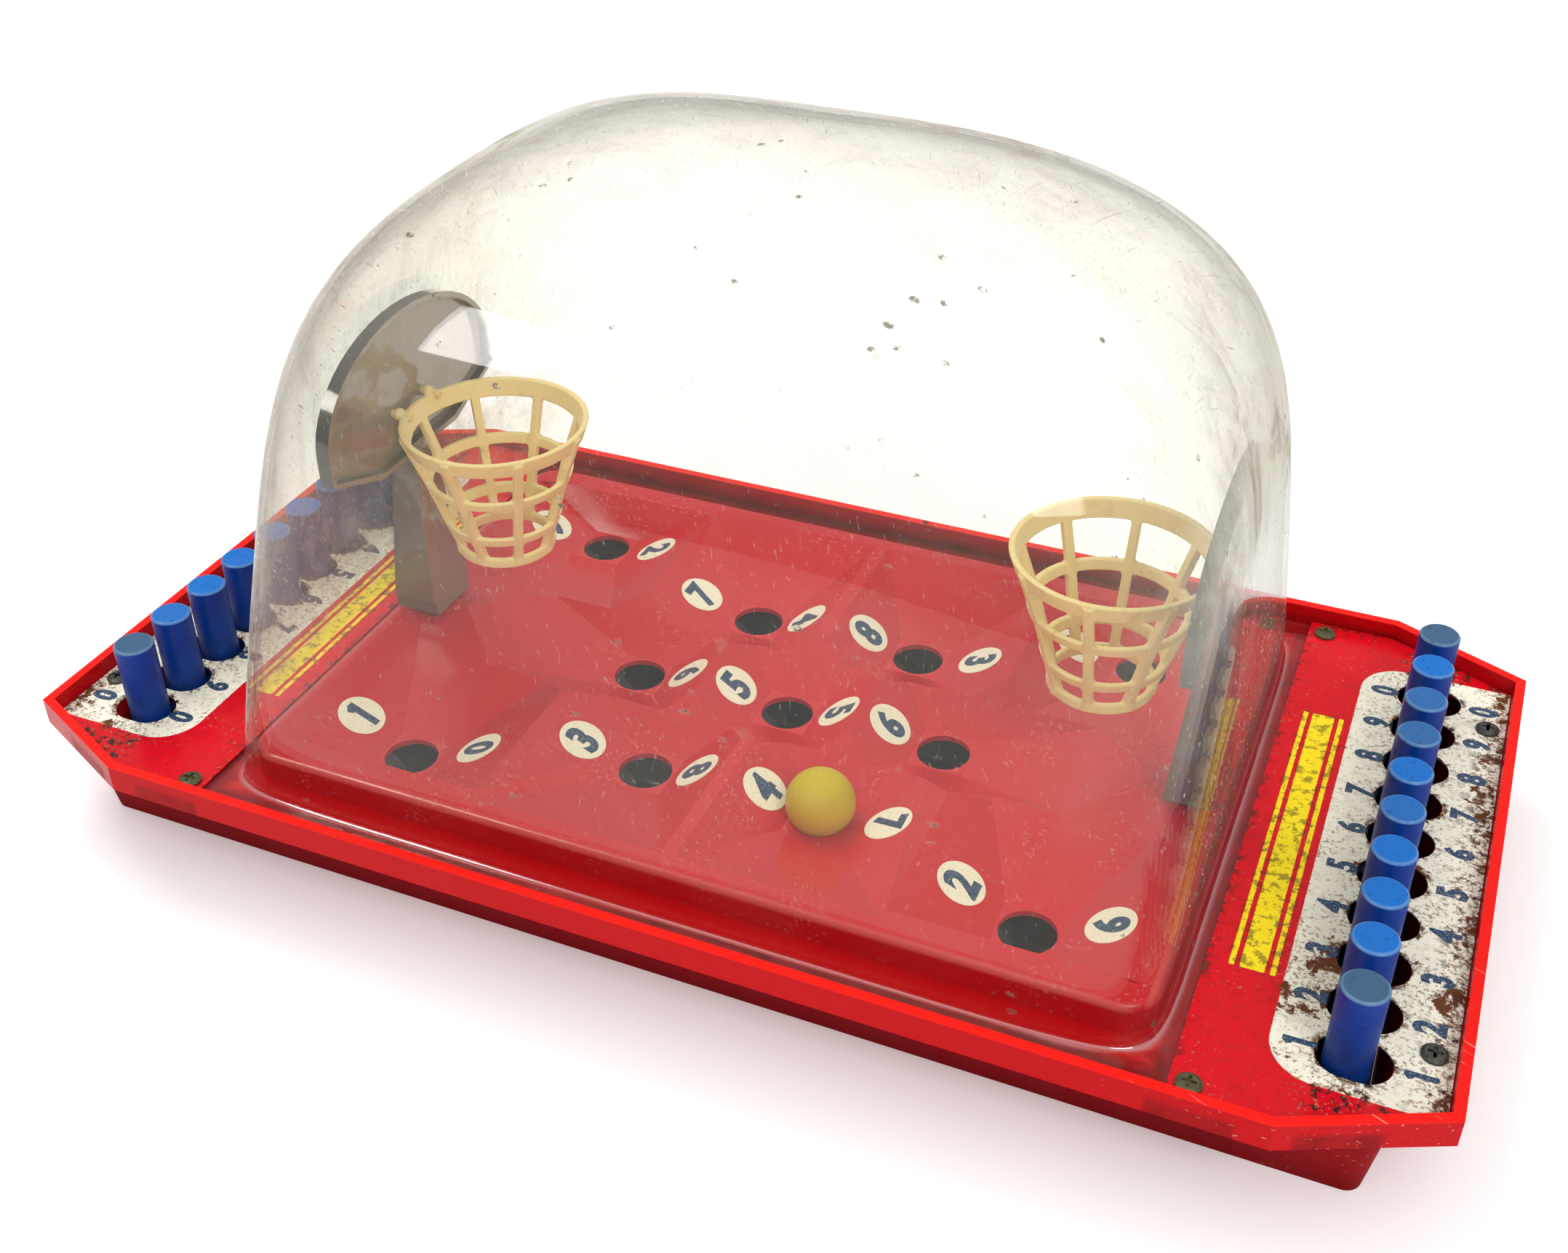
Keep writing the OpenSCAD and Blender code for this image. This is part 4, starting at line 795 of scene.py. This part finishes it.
# Ball
# A solid yellow plastic ball, matt from use, with the faint seam of its two-part mould.
yellow_ball = Finish("yellow_ball")
ball_middle = Vector((inner_x, -inner_y, sum(p.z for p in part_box("ball")) / 2))
ball_radius = 0.00878
seam_half_width = 0.0002
seam_rise = 1.002
ball_color = yellow_ball.tint(yellow_ball.noise(0.006, 5, 0.6), (0.50, 0.37, 0.010), (0.60, 0.46, 0.018))
ball_marks = yellow_ball.step(yellow_ball.noise(0.002, 5, 0.7), 0.58, 0.75, 0, 0.4)
ball_color = yellow_ball.tint(ball_marks, ball_color, (0.30, 0.22, 0.02))
yellow_ball.set(color=ball_color)
yellow_ball.set(rough=yellow_ball.step(yellow_ball.noise(0.002, 4), 0.3, 0.7, 0.42, 0.6))
yellow_ball.set(Specular_IOR_Level=0.2)
yellow_ball.set(normal=yellow_ball.bump(yellow_ball.noise(0.0007, 3), 0.00005))
ball = bmesh.new()
bmesh.ops.create_uvsphere(ball, u_segments=96, v_segments=64, radius=ball_radius)
seam = [v for v in ball.verts if abs(v.co.z) < seam_half_width]
for v in seam:
    v.co *= seam_rise
bmesh.ops.rotate(ball, verts=ball.verts, cent=(0, 0, 0), matrix=Matrix.Rotation(1.1, 3, (0.5, 0.8, 0.1)))
bmesh.ops.translate(ball, verts=ball.verts, vec=ball_middle)
dressed("yellow_ball", ball, yellow_ball, "ball", ["ball"], 180, False)

# Screws
# Small brass screws with cross recesses hold the plates and the dome, gone green and brown.
# Plain steel ones hold the posts and the base cover from below.
old_brass = Finish("tarnished_brass")
brass = old_brass.tint(old_brass.noise(0.002, 5, 0.7), (0.06, 0.055, 0.025), (0.20, 0.17, 0.07))
brass_green = old_brass.step(old_brass.noise(0.0012, 5, 0.7), 0.48, 0.62, 0, 0.7)
brass = old_brass.tint(brass_green, brass, (0.06, 0.10, 0.055))
outer_screws = old_brass.step(old_brass.calc("ABSOLUTE", old_brass.x), 0.15, 0.16)
brass = old_brass.tint(outer_screws, brass, (0.085, 0.085, 0.070))
old_brass.set(color=brass, metal=old_brass.calc("SUBTRACT", 0.8, brass_green, clamp=True))
old_brass.set(rough=old_brass.step(old_brass.noise(0.0008, 4), 0.3, 0.7, 0.4, 0.75))
old_brass.set(normal=old_brass.bump(old_brass.noise(0.0005, 4), 0.00005))
screws = reworked("plate_screws")
soften(screws, 0.00016, 2, lambda middle, edge: middle.z > 0.0264)
dressed("brass_plate_screws", screws, old_brass, "frame", ["plate_screws"])
bright_steel = Finish("bright_steel")
steel_grain = bright_steel.noise((0.004, 0.004, 0.03), 4)
steel = bright_steel.tint(steel_grain, (0.42, 0.42, 0.43), (0.60, 0.60, 0.61))
bright_steel.set(color=steel, metal=1.0)
bright_steel.set(rough=bright_steel.step(bright_steel.noise(0.003, 4), 0.3, 0.7, 0.2, 0.4))
bright_steel.set(normal=bright_steel.bump(bright_steel.noise(0.0006, 3), 0.00002))
for node in ("post_screws", "base_screws", "key_shaft_right", "key_shaft_left"):
    dress_node(node, bright_steel)

# Works under the court
# Black base cover with its guide combs, black strips that carry the strikers, and one leaf
# spring of blued steel at each end that brings the keys back.
black_plastic = Finish("black_plastic")
black = black_plastic.tint(black_plastic.noise(0.02, 5), (0.018, 0.018, 0.019), (0.035, 0.035, 0.036))
black_dust = black_plastic.step(black_plastic.noise(0.004, 6, 0.7), 0.5, 0.8, 0, 0.25)
black_plastic.set(color=black_plastic.tint(black_dust, black, (0.06, 0.056, 0.052)))
black_plastic.set(rough=black_plastic.step(black_plastic.noise(0.006, 4), 0.3, 0.7, 0.4, 0.6))
black_plastic.set(normal=black_plastic.bump(black_plastic.noise(0.0008, 3), 0.00006))
dress_node("base_cover", black_plastic)
for end in "rl":
    for digit in digits:
        dress_node(f"striker_{end}{digit}", black_plastic)
spring_steel = Finish("spring_steel")
blued = spring_steel.tint(spring_steel.noise(0.01, 4), (0.12, 0.14, 0.18), (0.22, 0.23, 0.26))
spring_steel.set(color=blued, metal=1.0)
spring_steel.set(rough=spring_steel.step(spring_steel.noise(0.004, 4), 0.3, 0.7, 0.3, 0.5))
spring_steel.set(normal=spring_steel.bump(spring_steel.noise(0.0008, 3), 0.00002))
for end in ("right", "left"):
    dress_node(f"return_comb_{end}", spring_steel)
